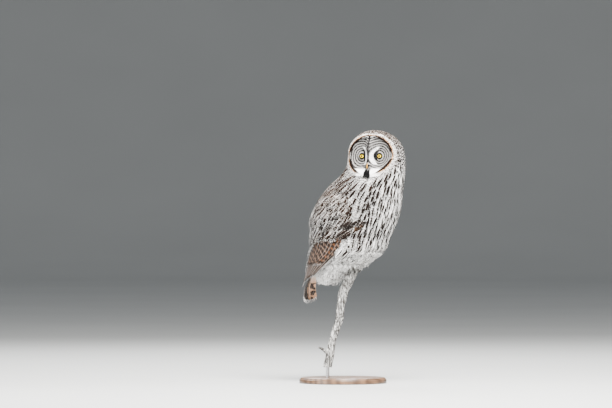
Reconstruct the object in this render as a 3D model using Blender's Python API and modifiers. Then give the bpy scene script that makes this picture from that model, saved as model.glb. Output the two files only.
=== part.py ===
"""Great grey owl, life size, gripping the top of a cut length of weathered branch on a plain display stand.

The body faces -Y with the bird's right side towards -X, and the head is turned to the bird's right.
The origin is the centre of the stand's underside. Metres, +Z up.
"""

import math

import bmesh
import bpy
import numpy as np
from mathutils import Matrix, Vector

GAP = 0.0003  # free space between touching nodes
BODY_SIDES = 28
VANE_THICK = 0.0007

# Body sections, level slices from the crown down: height, forward place of the centre, half depth,
# half width, and how much wider the front is than the back.
BODY = (
    (0.784, 0.1350, 0.0945, 0.0945, 0.00),
    (0.767, 0.1345, 0.0970, 0.0960, 0.00),
    (0.750, 0.1330, 0.1000, 0.0960, 0.00),
    (0.733, 0.1290, 0.1040, 0.0945, 0.00),
    (0.712, 0.1190, 0.1110, 0.0960, 0.00),
    (0.698, 0.1095, 0.1170, 0.1010, 0.02),
    (0.681, 0.0950, 0.1275, 0.1080, 0.04),
    (0.664, 0.0844, 0.1350, 0.1145, 0.06),
    (0.6295, 0.0663, 0.1476, 0.1210, 0.10),
    (0.595, 0.0537, 0.1539, 0.1240, 0.14),
    (0.561, 0.0407, 0.1550, 0.1240, 0.16),
    (0.526, 0.0330, 0.1460, 0.1220, 0.18),
    (0.492, 0.0222, 0.1389, 0.1170, 0.20),
    (0.4575, 0.0136, 0.1325, 0.1080, 0.20),
    (0.423, -0.0200, 0.1100, 0.0940, 0.20),
    (0.389, -0.0520, 0.0850, 0.0850, 0.20),
    (0.354, -0.0780, 0.0670, 0.0790, 0.20),
    (0.334, -0.0950, 0.0560, 0.0760, 0.18),
    (0.272, -0.0940, 0.0450, 0.1000, 0.10),
)
# Where the belly and vent leave the wings' and tail's envelope, from the same five measures.
BELLY = (
    (0.4575, 0.0136, 0.1325, 0.1080, 0.20),
    (0.440, 0.0150, 0.1200, 0.0960, 0.16),
    (0.427, 0.0100, 0.1060, 0.0850, 0.10),
    (0.4145, 0.0010, 0.0960, 0.0750, 0.05),
    (0.404, -0.0190, 0.0760, 0.0660, 0.00),
    (0.388, -0.0420, 0.0600, 0.0560, 0.00),
    (0.371, -0.0540, 0.0460, 0.0480, 0.00),
    (0.354, -0.0620, 0.0340, 0.0400, 0.00),
    (0.341, -0.0680, 0.0230, 0.0300, 0.00),
)
CROWN_HEIGHT = 0.784  # centre of the crown's dome
CROWN_RISE = 0.0827
NECK_TOP = 0.706
NECK_BOTTOM = 0.676

# Folded wing: height, angle of its front edge and of its back edge, from the breast round to the back.
WING_EDGE = (
    (0.671, 88.0, 112.0),
    (0.647, 73.0, 140.0),
    (0.630, 65.0, 152.0),
    (0.588, 56.0, 168.0),
    (0.544, 52.0, 176.0),
    (0.520, 54.5, 178.5),
    (0.499, 59.0, 178.5),
    (0.475, 66.0, 178.5),
    (0.440, 70.0, 178.0),
    (0.406, 73.0, 176.0),
    (0.372, 78.0, 172.0),
    (0.336, 100.0, 160.0),
)
# How far in the wing's inner face lies, by height.
WING_DEPTH = ((0.671, 0.009), (0.640, 0.013), (0.500, 0.013), (0.437, 0.011), (0.389, 0.007), (0.334, 0.0045))
# How far the wing's closed plate lies under the plumage's outline, and where it ends below.
PLATE_SINK = ((0.671, 0.0010), (0.655, 0.0045), (0.640, 0.0060), (0.440, 0.0055), (0.389, 0.0042))
PLATE_LOW = 0.395
WING_ROWS = 10
WING_COLUMNS = 7
WING_MARGIN = 0.0018
VANE_TILT = 0.0009
LONG_VANE = ((0.0, 0.30), (0.34, 0.76), (0.66, 1.0), (0.88, 0.80), (1.0, 0.28))
SHORT_VANE = ((0.0, 0.32), (0.48, 0.92), (0.80, 0.86), (1.0, 0.30))

# Tiers of the wing: name, count, first and last share, height of the roots, heights of the first and last
# tip, how far out the roots and tips lie, and the outline of each vane.
WING_TIERS = (
    ("primaries", 7, 0.090, 0.790, 0.468, (0.374, 0.331), (-0.0088, -0.0008), LONG_VANE),
    ("secondaries", 6, 0.130, 0.840, 0.512, (0.392, 0.420), (-0.0096, 0.0000), LONG_VANE),
    ("tertials", 3, 0.740, 0.890, 0.572, (0.450, 0.462), (-0.0096, 0.0014), LONG_VANE),
    ("greater_coverts", 5, 0.110, 0.575, 0.545, (0.474, 0.484), (-0.0098, 0.0012), SHORT_VANE),
    ("median_coverts", 4, 0.125, 0.500, 0.596, (0.532, 0.536), (-0.0100, 0.0014), SHORT_VANE),
    ("lesser_coverts", 4, 0.125, 0.480, 0.647, (0.585, 0.588), (-0.0100, 0.0014), SHORT_VANE),
    ("lower_scapulars", 4, 0.580, 0.890, 0.620, (0.545, 0.535), (-0.0100, 0.0016), SHORT_VANE),
    ("upper_scapulars", 3, 0.590, 0.840, 0.658, (0.608, 0.600), (-0.0090, 0.0016), SHORT_VANE),
)

# Loose locks of belly and vent: height of the row, first and last angle from the breast, count, half width,
# how far the tips hang and how far they lean back.
FRINGE = (
    (0.4220, -66.0, 66.0, 6, 0.0110, 0.0150, 0.004),
    (0.4020, -112.0, 112.0, 6, 0.0100, 0.0260, 0.008),
    (0.3700, -125.0, 125.0, 6, 0.0095, 0.0300, 0.008),
    (0.3480, -95.0, 95.0, 4, 0.0080, 0.0240, 0.006),
)
LOCK_OUTLINE = ((0.0, 0.8), (0.35, 1.0), (0.72, 0.75), (1.0, 0.16))
LOCK_THICK = 0.0012
LOCK_RISE = 0.0075

# Head
HEAD_TURN = math.radians(80.0)  # from straight ahead round to the bird's right
EYE_HEIGHT = 0.7825
HEAD_CENTRE = Vector((0.0, -0.1345, EYE_HEIGHT))
FACE_HALF_WIDTH = 0.0795
FACE_HALF_HEIGHT = 0.0680
EYE_APART = 0.0320  # half the distance between the eyeballs' centres
EYE_DROP = 0.003
EYE_DEEP = 0.0455
EYE_RADIUS = 0.0125
HEAD_SECTORS = 32
FACE_SHARES = (0.11, 0.23, 0.35, 0.48, 0.64, 0.80, 0.92)
LID_RADIUS = 0.0112
LID_THICK = 0.0022
LID_AHEAD = 0.0065  # of the eyeball's centre
LID_SECTORS = 20
LID_SIDES = 6

# Ruff: count, then along from the rim, lift and share of full width at each station.
RUFF_COUNT = 24
RUFF_VANE = ((-0.010, -0.0040, 0.55), (0.002, 0.0030, 1.0), (0.018, 0.0036, 0.45))
RUFF_OVERLAP = 0.66
RUFF_RADIUS = 0.095

# Bill: up from the eyes, ahead of the bill's base, half width, half height.
BILL_BASE = 0.0715  # ahead of the head's centre
BILL_UPPER = (
    (-0.0355, 0.0000, 0.0062, 0.0105),
    (-0.0355, 0.0060, 0.0058, 0.0098),
    (-0.0375, 0.0110, 0.0048, 0.0080),
    (-0.0425, 0.0145, 0.0034, 0.0058),
    (-0.0480, 0.0145, 0.0021, 0.0038),
    (-0.0535, 0.0115, 0.0006, 0.0012),
)
BILL_LOWER = (
    (-0.0505, 0.0000, 0.0042, 0.0034),
    (-0.0508, 0.0040, 0.0036, 0.0028),
    (-0.0510, 0.0085, 0.0020, 0.0014),
)
BILL_POCKET = ((-0.0075, -0.0600, BILL_BASE), (0.0075, -0.0240, 0.15))  # across, up and ahead of two corners
NOSTRIL_PLACE = (0.0052, -0.0305, BILL_BASE + 0.0045)
NOSTRIL_RADIUS = 0.0014

# Tail: how far inside the body's outline it lies and half the angle it spans, by height.
TAIL_TOP = 0.446
TAIL_LOW = 0.272
TAIL_HALF_THICK = 0.003
TAIL_INSET = (
    (0.446, 0.024),
    (0.423, 0.0205),
    (0.389, 0.0160),
    (0.354, 0.0125),
    (0.334, 0.0100),
    (0.303, 0.004),
    (0.272, 0.000),
)
TAIL_SPREAD = ((0.446, 20.0), (0.389, 25.0), (0.354, 31.0), (0.334, 35.0), (0.300, 36.0), (0.272, 31.0))
TAIL_FEATHERS = 12
TAIL_ROOT_LOW = 0.375
TAIL_VANE_TOP = 0.396
TAIL_VANE_HALF = 0.142
TAIL_TILT = 0.0005
TAIL_VANE = ((0.0, 0.60), (0.35, 0.95), (0.75, 1.0), (0.93, 0.80), (1.0, 0.35))
TAIL_CUT_LOW = 0.30

# Legs, feet and claws
LEG_APART = 0.0175
LEG_TOP = 0.4640
LEG_FORWARD = 0.0520
FOOT_TOP = 0.4330
LEG_ROWS = ((LEG_TOP, 0.0150), (0.452, 0.0158), (0.441, 0.0150), (FOOT_TOP + GAP, 0.0125))
POCKET_ROWS = ((LEG_TOP + GAP, 0.0350), (0.44, 0.0360), (0.30, 0.0400))  # the hollow they stand in
PAD_DEPTH = 0.013
PAD_RADII = (0.0115, 0.0125)
TOE_TURNS = (18.0, 62.0, 112.0, 158.0)
TOE_RADIUS = 0.0052
TOE_RADII = (0.0050, TOE_RADIUS, TOE_RADIUS, 0.0050, 0.0042)
TOE_LIFT = TOE_RADIUS + 0.0006
TOE_REACH = (0.014, 0.017, 0.014, 0.012)
CLAW_LINE = ((0.0, 0.0, 0.0028), (0.004, 0.0, 0.0023), (0.008, 0.0006, 0.0015), (0.0115, 0.0022, 0.0004))

# Perch and stand
VIEW_RIGHT = Vector((0.530, -0.848, 0.0))  # the branch leans in the plane of this line and +Z
VIEW_NEAR = Vector((-0.848, -0.530, 0.0))
PERCH_NEAR = 0.029
PERCH_PATH = (  # along VIEW_RIGHT, height, radius
    (0.0464, 0.4165, 0.0155),
    (0.0400, 0.3975, 0.0175),
    (0.0240, 0.3630, 0.0175),
    (0.0020, 0.3150, 0.0160),
    (-0.0072, 0.2707, 0.0140),
    (-0.0145, 0.2153, 0.0130),
    (-0.0330, 0.1600, 0.0125),
    (-0.0440, 0.1049, 0.0140),
    (-0.0530, 0.0560, 0.0145),
)
PERCH_STEPS = 21
PERCH_SIDES = 12
TWIG_ENDS = ((-0.0520, 0.1020), (-0.0850, 0.1245))
TWIG_BOW = 0.003
TWIG_ROWS = ((0.0, 0.0062), (0.35, 0.0045), (0.7, 0.0038), (1.0, 0.0030))
BASE_RADIUS = 0.150
BASE_THICK = 0.020
BASE_BEVEL = 0.003
ROD_RADIUS = 0.006


def make_material(name, colour, roughness, metallic=0.0):
    material = bpy.data.materials.new(name)
    material.use_nodes = True
    shader = material.node_tree.nodes["Principled BSDF"]
    shader.inputs["Base Color"].default_value = (*colour, 1.0)
    shader.inputs["Roughness"].default_value = roughness
    shader.inputs["Metallic"].default_value = metallic
    return material


def smooth(table, height):
    """The table's row at this height, along a smooth curve through its rows."""
    rows = np.array(table)
    heights = -rows[:, 0]
    x = min(max(-height, heights[0]), heights[-1])
    i = int(min(np.searchsorted(heights, x, side="right") - 1, len(rows) - 2))
    i = max(i, 0)
    h = heights[i + 1] - heights[i]
    t = (x - heights[i]) / h

    def slope(k):
        low, high = max(k - 1, 0), min(k + 1, len(rows) - 1)
        return (rows[high, 1:] - rows[low, 1:]) / (heights[high] - heights[low])

    a, b = rows[i, 1:], rows[i + 1, 1:]
    ma, mb = slope(i) * h, slope(i + 1) * h
    return (
        (2 * t**3 - 3 * t**2 + 1) * a
        + (t**3 - 2 * t**2 + t) * ma
        + (-2 * t**3 + 3 * t**2) * b
        + (t**3 - t**2) * mb
    )


def section(height, table=BODY):
    """Centre, half depth, half width and egg shape of a level slice."""
    forward, depth, width, egg = smooth(table, height)
    if height > CROWN_HEIGHT:
        rise = min((height - CROWN_HEIGHT) / CROWN_RISE, 1.0)
        shrink = math.sqrt(max(1.0 - rise * rise, 0.0))
        depth, width = depth * shrink, width * shrink
        forward -= 0.006 * rise
    return forward, depth, width, egg


def skin_point(height, angle, out=0.0, table=BODY):
    """A point of the plumage at this height and angle from the breast, angle rising to the bird's left."""
    forward, depth, width, egg = section(height, table)
    sine, cosine = math.sin(angle), math.cos(angle)
    x = width * sine * (1.0 + egg * cosine)
    f = forward + depth * cosine
    nx = depth * sine
    nf = width * (cosine + egg * (cosine * cosine - sine * sine))
    length = math.hypot(nx, nf) or 1.0
    return Vector((x + out * nx / length, -(f + out * nf / length), height))


def new_object(name, mesh, material, collection):
    obj = bpy.data.objects.new(name, mesh)
    mesh.materials.append(material)
    collection.objects.link(obj)
    return obj


def mesh_from(name, bm):
    bmesh.ops.recalc_face_normals(bm, faces=bm.faces)
    mesh = bpy.data.meshes.new(name)
    bm.to_mesh(mesh)
    bm.free()
    mesh.shade_smooth()
    mesh.set_sharp_from_angle(angle=math.radians(50))
    return mesh


def loft(rings):
    """A closed bmesh through rings of points, with a fan over each end."""
    bm = bmesh.new()
    loops = [[bm.verts.new(p) for p in ring] for ring in rings]
    count = len(loops[0])
    for low, high in zip(loops, loops[1:]):
        for i in range(count):
            j = (i + 1) % count
            bm.faces.new((low[i], low[j], high[j], high[i]))
    for ring in (loops[0], loops[-1]):
        centre = bm.verts.new(sum((v.co for v in ring), Vector()) / count)
        for i in range(count):
            bm.faces.new((ring[i], ring[(i + 1) % count], centre))
    return bm


def shell(outside, inside):
    """A closed bmesh between two grids of points, split alike on both faces."""
    rows, columns = len(outside) - 1, len(outside[0]) - 1
    bm = bmesh.new()
    verts_out = [[bm.verts.new(p) for p in line] for line in outside]
    verts_in = [[bm.verts.new(p) for p in line] for line in inside]
    for grid in (verts_out, verts_in):
        for r in range(rows):
            for c in range(columns):
                bm.faces.new((grid[r][c], grid[r][c + 1], grid[r + 1][c + 1]))
                bm.faces.new((grid[r][c], grid[r + 1][c + 1], grid[r + 1][c]))
    border = [(0, c) for c in range(columns)] + [(r, columns) for r in range(rows)]
    border += [(rows, c) for c in range(columns, 0, -1)] + [(r, 0) for r in range(rows, 0, -1)]
    for (r0, c0), (r1, c1) in zip(border, border[1:] + border[:1]):
        bm.faces.new((verts_out[r0][c0], verts_out[r1][c1], verts_in[r1][c1]))
        bm.faces.new((verts_out[r0][c0], verts_in[r1][c1], verts_in[r0][c0]))
    return bm


def tube_rings(path, radii, sides):
    """Rings round a path of points, carried along it without twist."""
    rings = []
    side = None
    for i, point in enumerate(path):
        ahead = path[min(i + 1, len(path) - 1)] - path[max(i - 1, 0)]
        ahead.normalize()
        if side is None:
            side = ahead.orthogonal().normalized()
        side = (side - ahead * side.dot(ahead)).normalized()
        other = ahead.cross(side)
        turns = [2 * math.pi * k / sides for k in range(sides)]
        rings.append([point + (side * math.cos(t) + other * math.sin(t)) * radii[i] for t in turns])
    return rings


def boolean(obj, others, operation, solver="MANIFOLD"):
    """Applies a Boolean of obj with a list of closed mesh objects, and removes them."""
    group = bpy.data.collections.new("operands")
    bpy.context.scene.collection.children.link(group)
    for other in others:
        for owner in list(other.users_collection):
            owner.objects.unlink(other)
        group.objects.link(other)
    modifier = obj.modifiers.new("Boolean", "BOOLEAN")
    modifier.operation = operation
    modifier.solver = solver
    modifier.operand_type = "COLLECTION"
    modifier.collection = group
    bpy.context.view_layer.update()
    graph = bpy.context.evaluated_depsgraph_get()
    mesh = bpy.data.meshes.new_from_object(obj.evaluated_get(graph))
    obj.modifiers.clear()
    old = obj.data
    obj.data = mesh
    bpy.data.meshes.remove(old)
    for other in others:
        bpy.data.objects.remove(other)
    bpy.data.collections.remove(group)
    keep_largest(obj.data)
    return obj


def keep_largest(mesh):
    """Leaves only the largest closed surface of a mesh."""
    bm = bmesh.new()
    bm.from_mesh(mesh)
    seen, islands = set(), []
    for start in bm.verts:
        if start in seen:
            continue
        stack, island = [start], []
        seen.add(start)
        while stack:
            vert = stack.pop()
            island.append(vert)
            for edge in vert.link_edges:
                other = edge.other_vert(vert)
                if other not in seen:
                    seen.add(other)
                    stack.append(other)
        islands.append(island)
    islands.sort(key=lambda verts: island_size(verts), reverse=True)
    loose = [vert for island in islands[1:] for vert in island]
    bmesh.ops.delete(bm, geom=loose, context="VERTS")
    bm.to_mesh(mesh)
    bm.free()


def island_size(verts):
    points = np.array([v.co for v in verts])
    return float(np.prod(points.max(0) - points.min(0)))


# Torso, neck

def stack(heights, sides, table=BODY):
    turns = [2 * math.pi * k / sides for k in range(sides)]
    return [[skin_point(h, t, table=table) for t in turns] for h in heights]


def make_torso(collection, material):
    upper = np.linspace(NECK_BOTTOM - GAP / 2, BELLY[0][0], 9)
    lower = [row[0] for row in BELLY[1:]]
    rings = stack(upper, BODY_SIDES) + stack(lower, BODY_SIDES, BELLY)
    return new_object("torso", mesh_from("torso", loft(rings)), material, collection)


def make_neck(collection, material):
    rings = stack(np.linspace(NECK_TOP - GAP / 2, NECK_BOTTOM + GAP / 2, 4), BODY_SIDES)
    return new_object("neck", mesh_from("neck", loft(rings)), material, collection)


# Head

def head_axes():
    ahead = Vector((-math.sin(HEAD_TURN), -math.cos(HEAD_TURN), 0.0))
    left = Vector((0.0, 0.0, 1.0)).cross(ahead)
    return ahead, left


def head_place(across, up, ahead_by):
    """A point in the head's own measures: to its left, up from the eyes and ahead of its centre."""
    ahead, left = head_axes()
    return HEAD_CENTRE + left * across + Vector((0, 0, up)) + ahead * ahead_by


def plumage_reach(direction):
    """How far the plumage reaches from the head's centre along a direction."""
    low, high = 0.0, 0.30
    for _ in range(26):
        mid = (low + high) / 2
        point = HEAD_CENTRE + direction * mid
        forward, depth, width, _ = section(max(point.z, 0.60))
        over = point.z > CROWN_HEIGHT + CROWN_RISE
        size = 9.0 if over or width < 1e-6 else math.hypot(point.x / width, (-point.y - forward) / depth)
        low, high = (low, mid) if size > 1.0 else (mid, high)
    return low


def rim_place(turn, share):
    """Across and up of the face at a turn from the bird's left, at a share of the way to its rim."""
    notch = 1.0 - 0.07 * math.exp(-(((turn - math.pi / 2) / 0.22) ** 2))
    across = FACE_HALF_WIDTH * math.cos(turn) * share * notch
    up = FACE_HALF_HEIGHT * math.sin(turn) * share * notch
    return across, up


def rim_ahead(across, up):
    """How far ahead of the head's centre the plumage lies at a point of the rim."""
    low, high = 0.0, 0.15
    for _ in range(24):
        mid = (low + high) / 2
        point = head_place(across, up, mid)
        forward, depth, width, _ = section(point.z)
        size = math.hypot(point.x / width, (-point.y - forward) / depth)
        low, high = (low, mid) if size > 1.0 else (mid, high)
    return low


def face_ahead(across, up, share, rim):
    """How far ahead of the head's centre the face lies: two shallow dishes with a ridge between them."""
    ridge = 0.033 * math.exp(-((across / 0.0125) ** 2))
    ridge *= 1.0 - 0.45 * max(up / FACE_HALF_HEIGHT, 0.0) ** 2
    crescent = 0.008 * math.exp(-(((abs(across) - 0.014) / 0.006) ** 2)) * math.exp(-((up / 0.034) ** 2))
    low_face = 0.020 * max(-up / FACE_HALF_HEIGHT, 0.0) ** 2
    dish = 0.049 + 0.003 * share**2 + ridge + crescent + low_face
    blend = min(max((share - 0.62) / 0.38, 0.0), 1.0)
    blend = blend * blend * (3 - 2 * blend)
    return dish * (1 - blend) + rim * blend


def make_head(collection, material):
    """Both dishes of the face and the round of the head behind them, cut level at the neck."""
    sectors = HEAD_SECTORS
    ahead, left = head_axes()
    bm = bmesh.new()
    turns = [2 * math.pi * k / sectors for k in range(sectors)]
    rims = [rim_ahead(*rim_place(t, 1.0)) for t in turns]
    loops = []
    for share in FACE_SHARES:
        ring = []
        for turn, rim in zip(turns, rims):
            across, up = rim_place(turn, share)
            ring.append(bm.verts.new(head_place(across, up, face_ahead(across, up, share, rim))))
        loops.append(ring)
    for step in range(8):
        ring = []
        for turn, rim in zip(turns, rims):
            across, up = rim_place(turn, 1.0)
            start = math.atan2(math.hypot(across, up), rim)
            polar = start + (math.radians(178) - start) * (step / 7.0)
            side = (left * across + Vector((0, 0, up))).normalized()
            way = ahead * math.cos(polar) + side * math.sin(polar)
            ring.append(bm.verts.new(HEAD_CENTRE + way * plumage_reach(way)))
        loops.append(ring)
    for low, high in zip(loops, loops[1:]):
        for i in range(sectors):
            j = (i + 1) % sectors
            bm.faces.new((low[i], low[j], high[j], high[i]))
    front = bm.verts.new(head_place(0, 0, face_ahead(0, 0, 0, 0)))
    back = bm.verts.new(sum((v.co for v in loops[-1]), Vector()) / sectors)
    for centre, ring in ((front, loops[0]), (back, loops[-1])):
        for i in range(sectors):
            bm.faces.new((ring[i], ring[(i + 1) % sectors], centre))
    bmesh.ops.recalc_face_normals(bm, faces=bm.faces)
    cut = bmesh.ops.bisect_plane(
        bm,
        geom=bm.verts[:] + bm.edges[:] + bm.faces[:],
        plane_co=(0, 0, NECK_TOP + GAP / 2),
        plane_no=(0, 0, -1),
        clear_outer=True,
    )
    edges = [e for e in cut["geom_cut"] if isinstance(e, bmesh.types.BMEdge)]
    bmesh.ops.holes_fill(bm, edges=edges, sides=0)
    bmesh.ops.triangulate(bm, faces=bm.faces)
    return new_object("head", mesh_from("head", bm), material, collection)


def ruff_place(turn, along, lift):
    """A point near the facial disc's rim: along it outward from the rim, and lifted off the plumage."""
    ahead, left = head_axes()
    across, up = rim_place(turn, 1.0)
    rim = rim_ahead(across, up)
    side = (left * across + Vector((0, 0, up))).normalized()
    if along < 0.0:
        share = 1.0 + along / FACE_HALF_HEIGHT
        across, up = rim_place(turn, share)
        return head_place(across, up, face_ahead(across, up, share, rim) + lift)
    polar = math.atan2(math.hypot(across, up), rim) + along / RUFF_RADIUS
    way = ahead * math.cos(polar) + side * math.sin(polar)
    return HEAD_CENTRE + way * (plumage_reach(way) + lift)


def ruff(collection, material):
    """Short flat feathers round the facial disc, left out where they would reach the neck."""
    vanes = []
    spacing = 2 * math.pi / RUFF_COUNT
    for k in range(RUFF_COUNT):
        turn = spacing * (k + 0.5)
        outside, inside = [], []
        for along, lift, wide in RUFF_VANE:
            line_out, line_in = [], []
            for q in (-1.0, 1.0):
                at = turn + q * wide * spacing * RUFF_OVERLAP
                raised = lift + 0.0007 * q * wide
                line_out.append(ruff_place(at, along, raised))
                line_in.append(ruff_place(at, along, raised - VANE_THICK - 0.0002))
            outside.append(line_out)
            inside.append(line_in)
        if min(p.z for line in outside + inside for p in line) > NECK_TOP + 0.002:
            vanes.append(new_object("vane", mesh_from("vane", shell(outside, inside)), material, collection))
    return vanes


def fringe(collection, material):
    """Flat tapered locks hanging from the belly, well sunk at their roots."""
    locks = []
    for row, (height, first, last, count, half_width, hang, lean) in enumerate(FRINGE):
        for k in range(count):
            angle = math.radians(first + (last - first) * k / (count - 1))
            drop = hang * (0.85 + 0.30 * ((7 * k + 3 * row) % 5) / 4.0)
            root = skin_point(height, angle, -0.0050, BELLY)
            out = (skin_point(height, angle, 0.0, BELLY) - root).normalized()
            side = Vector((0, 0, 1)).cross(out)
            outside, inside = [], []
            for t, wide in LOCK_OUTLINE:
                point = root + out * (LOCK_RISE * math.sin(0.5 * math.pi * t)) - Vector((0, 0, drop * t))
                point += Vector((0, lean * t * t, 0))
                half = side * half_width * wide
                outside.append([point - half, point + half])
                inside.append([point - half - out * LOCK_THICK, point + half - out * LOCK_THICK])
            locks.append(new_object("lock", mesh_from("lock", shell(outside, inside)), material, collection))
    return locks


def ball(name, centre, radius, collection, material, segments=16, rings=8):
    """A sphere with its poles along the face's own axis."""
    bm = bmesh.new()
    bmesh.ops.create_uvsphere(bm, u_segments=segments, v_segments=rings, radius=radius)
    ahead, _ = head_axes()
    turn = Vector((0, 0, 1)).rotation_difference(ahead).to_matrix().to_4x4()
    bmesh.ops.transform(bm, matrix=Matrix.Translation(centre) @ turn, verts=bm.verts)
    return new_object(name, mesh_from(name, bm), material, collection)


def lid_ring(side, collection, material):
    """The raised rim of the lids round one eye."""
    ahead, left = head_axes()
    centre = head_place(side * EYE_APART, -EYE_DROP, EYE_DEEP + LID_AHEAD)
    bm = bmesh.new()
    loops = []
    for k in range(LID_SECTORS):
        turn = 2 * math.pi * k / LID_SECTORS
        out = left * math.cos(turn) + Vector((0, 0, 1)) * math.sin(turn)
        ring = []
        for q in range(LID_SIDES):
            a = 2 * math.pi * q / LID_SIDES
            away = out * (LID_RADIUS + LID_THICK * math.cos(a))
            ring.append(bm.verts.new(centre + away + ahead * LID_THICK * math.sin(a)))
        loops.append(ring)
    for low, high in zip(loops, loops[1:] + loops[:1]):
        for q in range(LID_SIDES):
            r = (q + 1) % LID_SIDES
            bm.faces.new((low[q], low[r], high[r], high[q]))
    return new_object("lid", mesh_from("lid", bm), material, collection)


def make_bill(name, rows, collection, material):
    """A mandible: level ovals that follow its curve, hooked where the rows say."""
    rings = []
    for k, (up, ahead_by, half_width, half_height) in enumerate(rows):
        before, after = rows[max(k - 1, 0)], rows[min(k + 1, len(rows) - 1)]
        bend = math.atan2(after[0] - before[0], after[1] - before[1]) if k else 0.0
        ring = []
        for q in range(12):
            turn = 2 * math.pi * q / 12
            rise = half_height * math.sin(turn)
            ring.append(
                head_place(
                    half_width * math.cos(turn),
                    up + rise * math.cos(bend),
                    BILL_BASE + GAP + ahead_by - rise * math.sin(bend),
                )
            )
        rings.append(ring)
    return new_object(name, mesh_from(name, loft(rings)), material, collection)


def box_in_head(low, high, collection, material):
    """A closed box given by two corners in the head's own measures."""
    rings = []
    for ahead_by in (low[2], high[2]):
        corners = ((low[0], low[1]), (high[0], low[1]), (high[0], high[1]), (low[0], high[1]))
        rings.append([head_place(a, u, ahead_by) for a, u in corners])
    return new_object("box", mesh_from("box", loft(rings)), material, collection)


# Wings and tail

def wing_spot(side, share, height, out):
    """A point of the folded wing: share 0 at its front edge to 1 at its back, out from the plumage."""
    front, back = smooth(WING_EDGE, height)
    degrees = front + (back - front) * min(max(share, 0.0), 1.0)
    if share < 0.0 or share > 1.0:
        degrees += math.copysign(math.degrees(WING_MARGIN / 0.09), share)
    return skin_point(height, side * math.radians(min(degrees, 179.9)), out)


def wing_recess(side, collection, material):
    """What is cut from the torso to let in one wing."""
    heights = list(np.linspace(WING_EDGE[0][0], WING_EDGE[-1][0], WING_ROWS + 1))
    heights = [heights[0] + WING_MARGIN] + heights + [heights[-1] - WING_MARGIN]
    shares = [-1.0] + list(np.linspace(0.0, 1.0, WING_COLUMNS + 1)) + [2.0]
    outside = [[wing_spot(side, c, h, 0.004) for c in shares] for h in heights]
    inside = [[wing_spot(side, c, h, -wing_depth(h) - GAP) for c in shares] for h in heights]
    return new_object("cut", mesh_from("cut", shell(outside, inside)), material, collection)


def wing_depth(height):
    return float(smooth(WING_DEPTH, height)[0])


def wing_plate(name, side, collection, material):
    """The folded arm and hand with the fused roots of their feathers, without the free vanes."""
    heights = np.linspace(WING_EDGE[0][0], WING_EDGE[-1][0], WING_ROWS + 1)
    heights = [h for h in heights if h > PLATE_LOW]
    shares = list(np.linspace(0.0, 1.0, WING_COLUMNS + 1))
    outside, inside = [], []
    for h in heights:
        over = smooth(PLATE_SINK, h)[0]
        outside.append([wing_spot(side, c, h, -over) for c in shares])
        inside.append([wing_spot(side, c, h, -wing_depth(h)) for c in shares])
    return new_object(name, mesh_from(name, shell(outside, inside)), material, collection)


def vane(place, centre, half_width, root, tip, rise, tilt, stations, collection, material):
    """A flat feather: place(share, height, out) lays it on a surface, with one edge raised by tilt."""
    outside, inside = [], []
    for t, wide in stations:
        height = root + (tip - root) * t
        out = rise[0] + (rise[1] - rise[0]) * t
        line_out, line_in = [], []
        for q in (-1.0, 0.0, 1.0):
            share = centre + q * wide * half_width
            line_out.append(place(share, height, out + tilt * q * wide))
            line_in.append(place(share, height, out + tilt * q * wide - VANE_THICK))
        outside.append(line_out)
        inside.append(line_in)
    return new_object("vane", mesh_from("vane", shell(outside, inside)), material, collection)


def make_wing(name, side, collection, material):
    plate = wing_plate(name, side, collection, material)
    vanes = []
    for _, count, first, last, root, tips, rise, outline in WING_TIERS:
        step = (last - first) / (count - 1)
        for k in range(count):
            share = first + step * k
            tip = tips[0] + (tips[1] - tips[0]) * math.sin(0.5 * math.pi * k / (count - 1))
            half_width = min(step * 0.74, share - 0.025, 0.970 - share)
            vanes.append(
                vane(
                    lambda c, h, out: wing_spot(side, c, h, out),
                    share,
                    half_width,
                    root,
                    tip,
                    rise,
                    -VANE_TILT,
                    outline,
                    collection,
                    material,
                )
            )
    return boolean(plate, vanes, "UNION")


def tail_point(height, share, out=0.0):
    """A point of the tail, share -1 to 1 from its right edge to its left one."""
    inset = float(smooth(TAIL_INSET, height)[0])
    spread = math.radians(float(smooth(TAIL_SPREAD, height)[0]))
    return skin_point(height, math.pi - share * spread, out - inset)


def tail_slab(name, half_thick, grow, low, collection, material):
    """The fused roots and quills of the tail, a curved slab."""
    heights = list(np.linspace(TAIL_TOP, TAIL_LOW, 9))
    heights = [h for h in heights if h > low]
    shares = list(np.linspace(-0.94, 0.94, 7))
    if grow:
        heights = [TAIL_TOP + grow] + heights
        shares = [-0.94 - 40 * grow] + shares + [0.94 + 40 * grow]
    outer = [[tail_point(h, s, half_thick) for s in shares] for h in heights]
    inner = [[tail_point(h, s, -half_thick) for s in shares] for h in heights]
    return new_object(name, mesh_from(name, shell(outer, inner)), material, collection)


def make_tail(name, collection, material):
    """Twelve tail feathers that step down from the middle pair to the outer ones, fused at their roots."""
    root = tail_slab(name, TAIL_HALF_THICK, 0.0, TAIL_ROOT_LOW, collection, material)
    vanes = []
    for k in range(TAIL_FEATHERS):
        place = -1.0 + 2.0 * (k + 0.5) / TAIL_FEATHERS
        depth = abs(place) * 0.0062 + (0.0011 if place > 0 else 0.0)
        tip = TAIL_LOW + 0.0135 * abs(place) ** 2.2
        tilt = math.copysign(TAIL_TILT, -place)
        vanes.append(
            vane(
                lambda c, h, out: tail_point(h, c, out),
                place * 0.93,
                TAIL_VANE_HALF,
                TAIL_VANE_TOP,
                tip,
                (TAIL_HALF_THICK - 0.0012, TAIL_HALF_THICK + 0.0016 - depth),
                tilt,
                TAIL_VANE,
                collection,
                material,
            )
        )
    return boolean(root, vanes, "UNION")


# Legs, feet and claws

def make_leg(name, side, collection, material):
    path = [Vector((side * LEG_APART, -LEG_FORWARD, height)) for height, _ in LEG_ROWS]
    rings = tube_rings(path, [radius for _, radius in LEG_ROWS], 14)
    return new_object(name, mesh_from(name, loft(rings)), material, collection)


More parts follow.
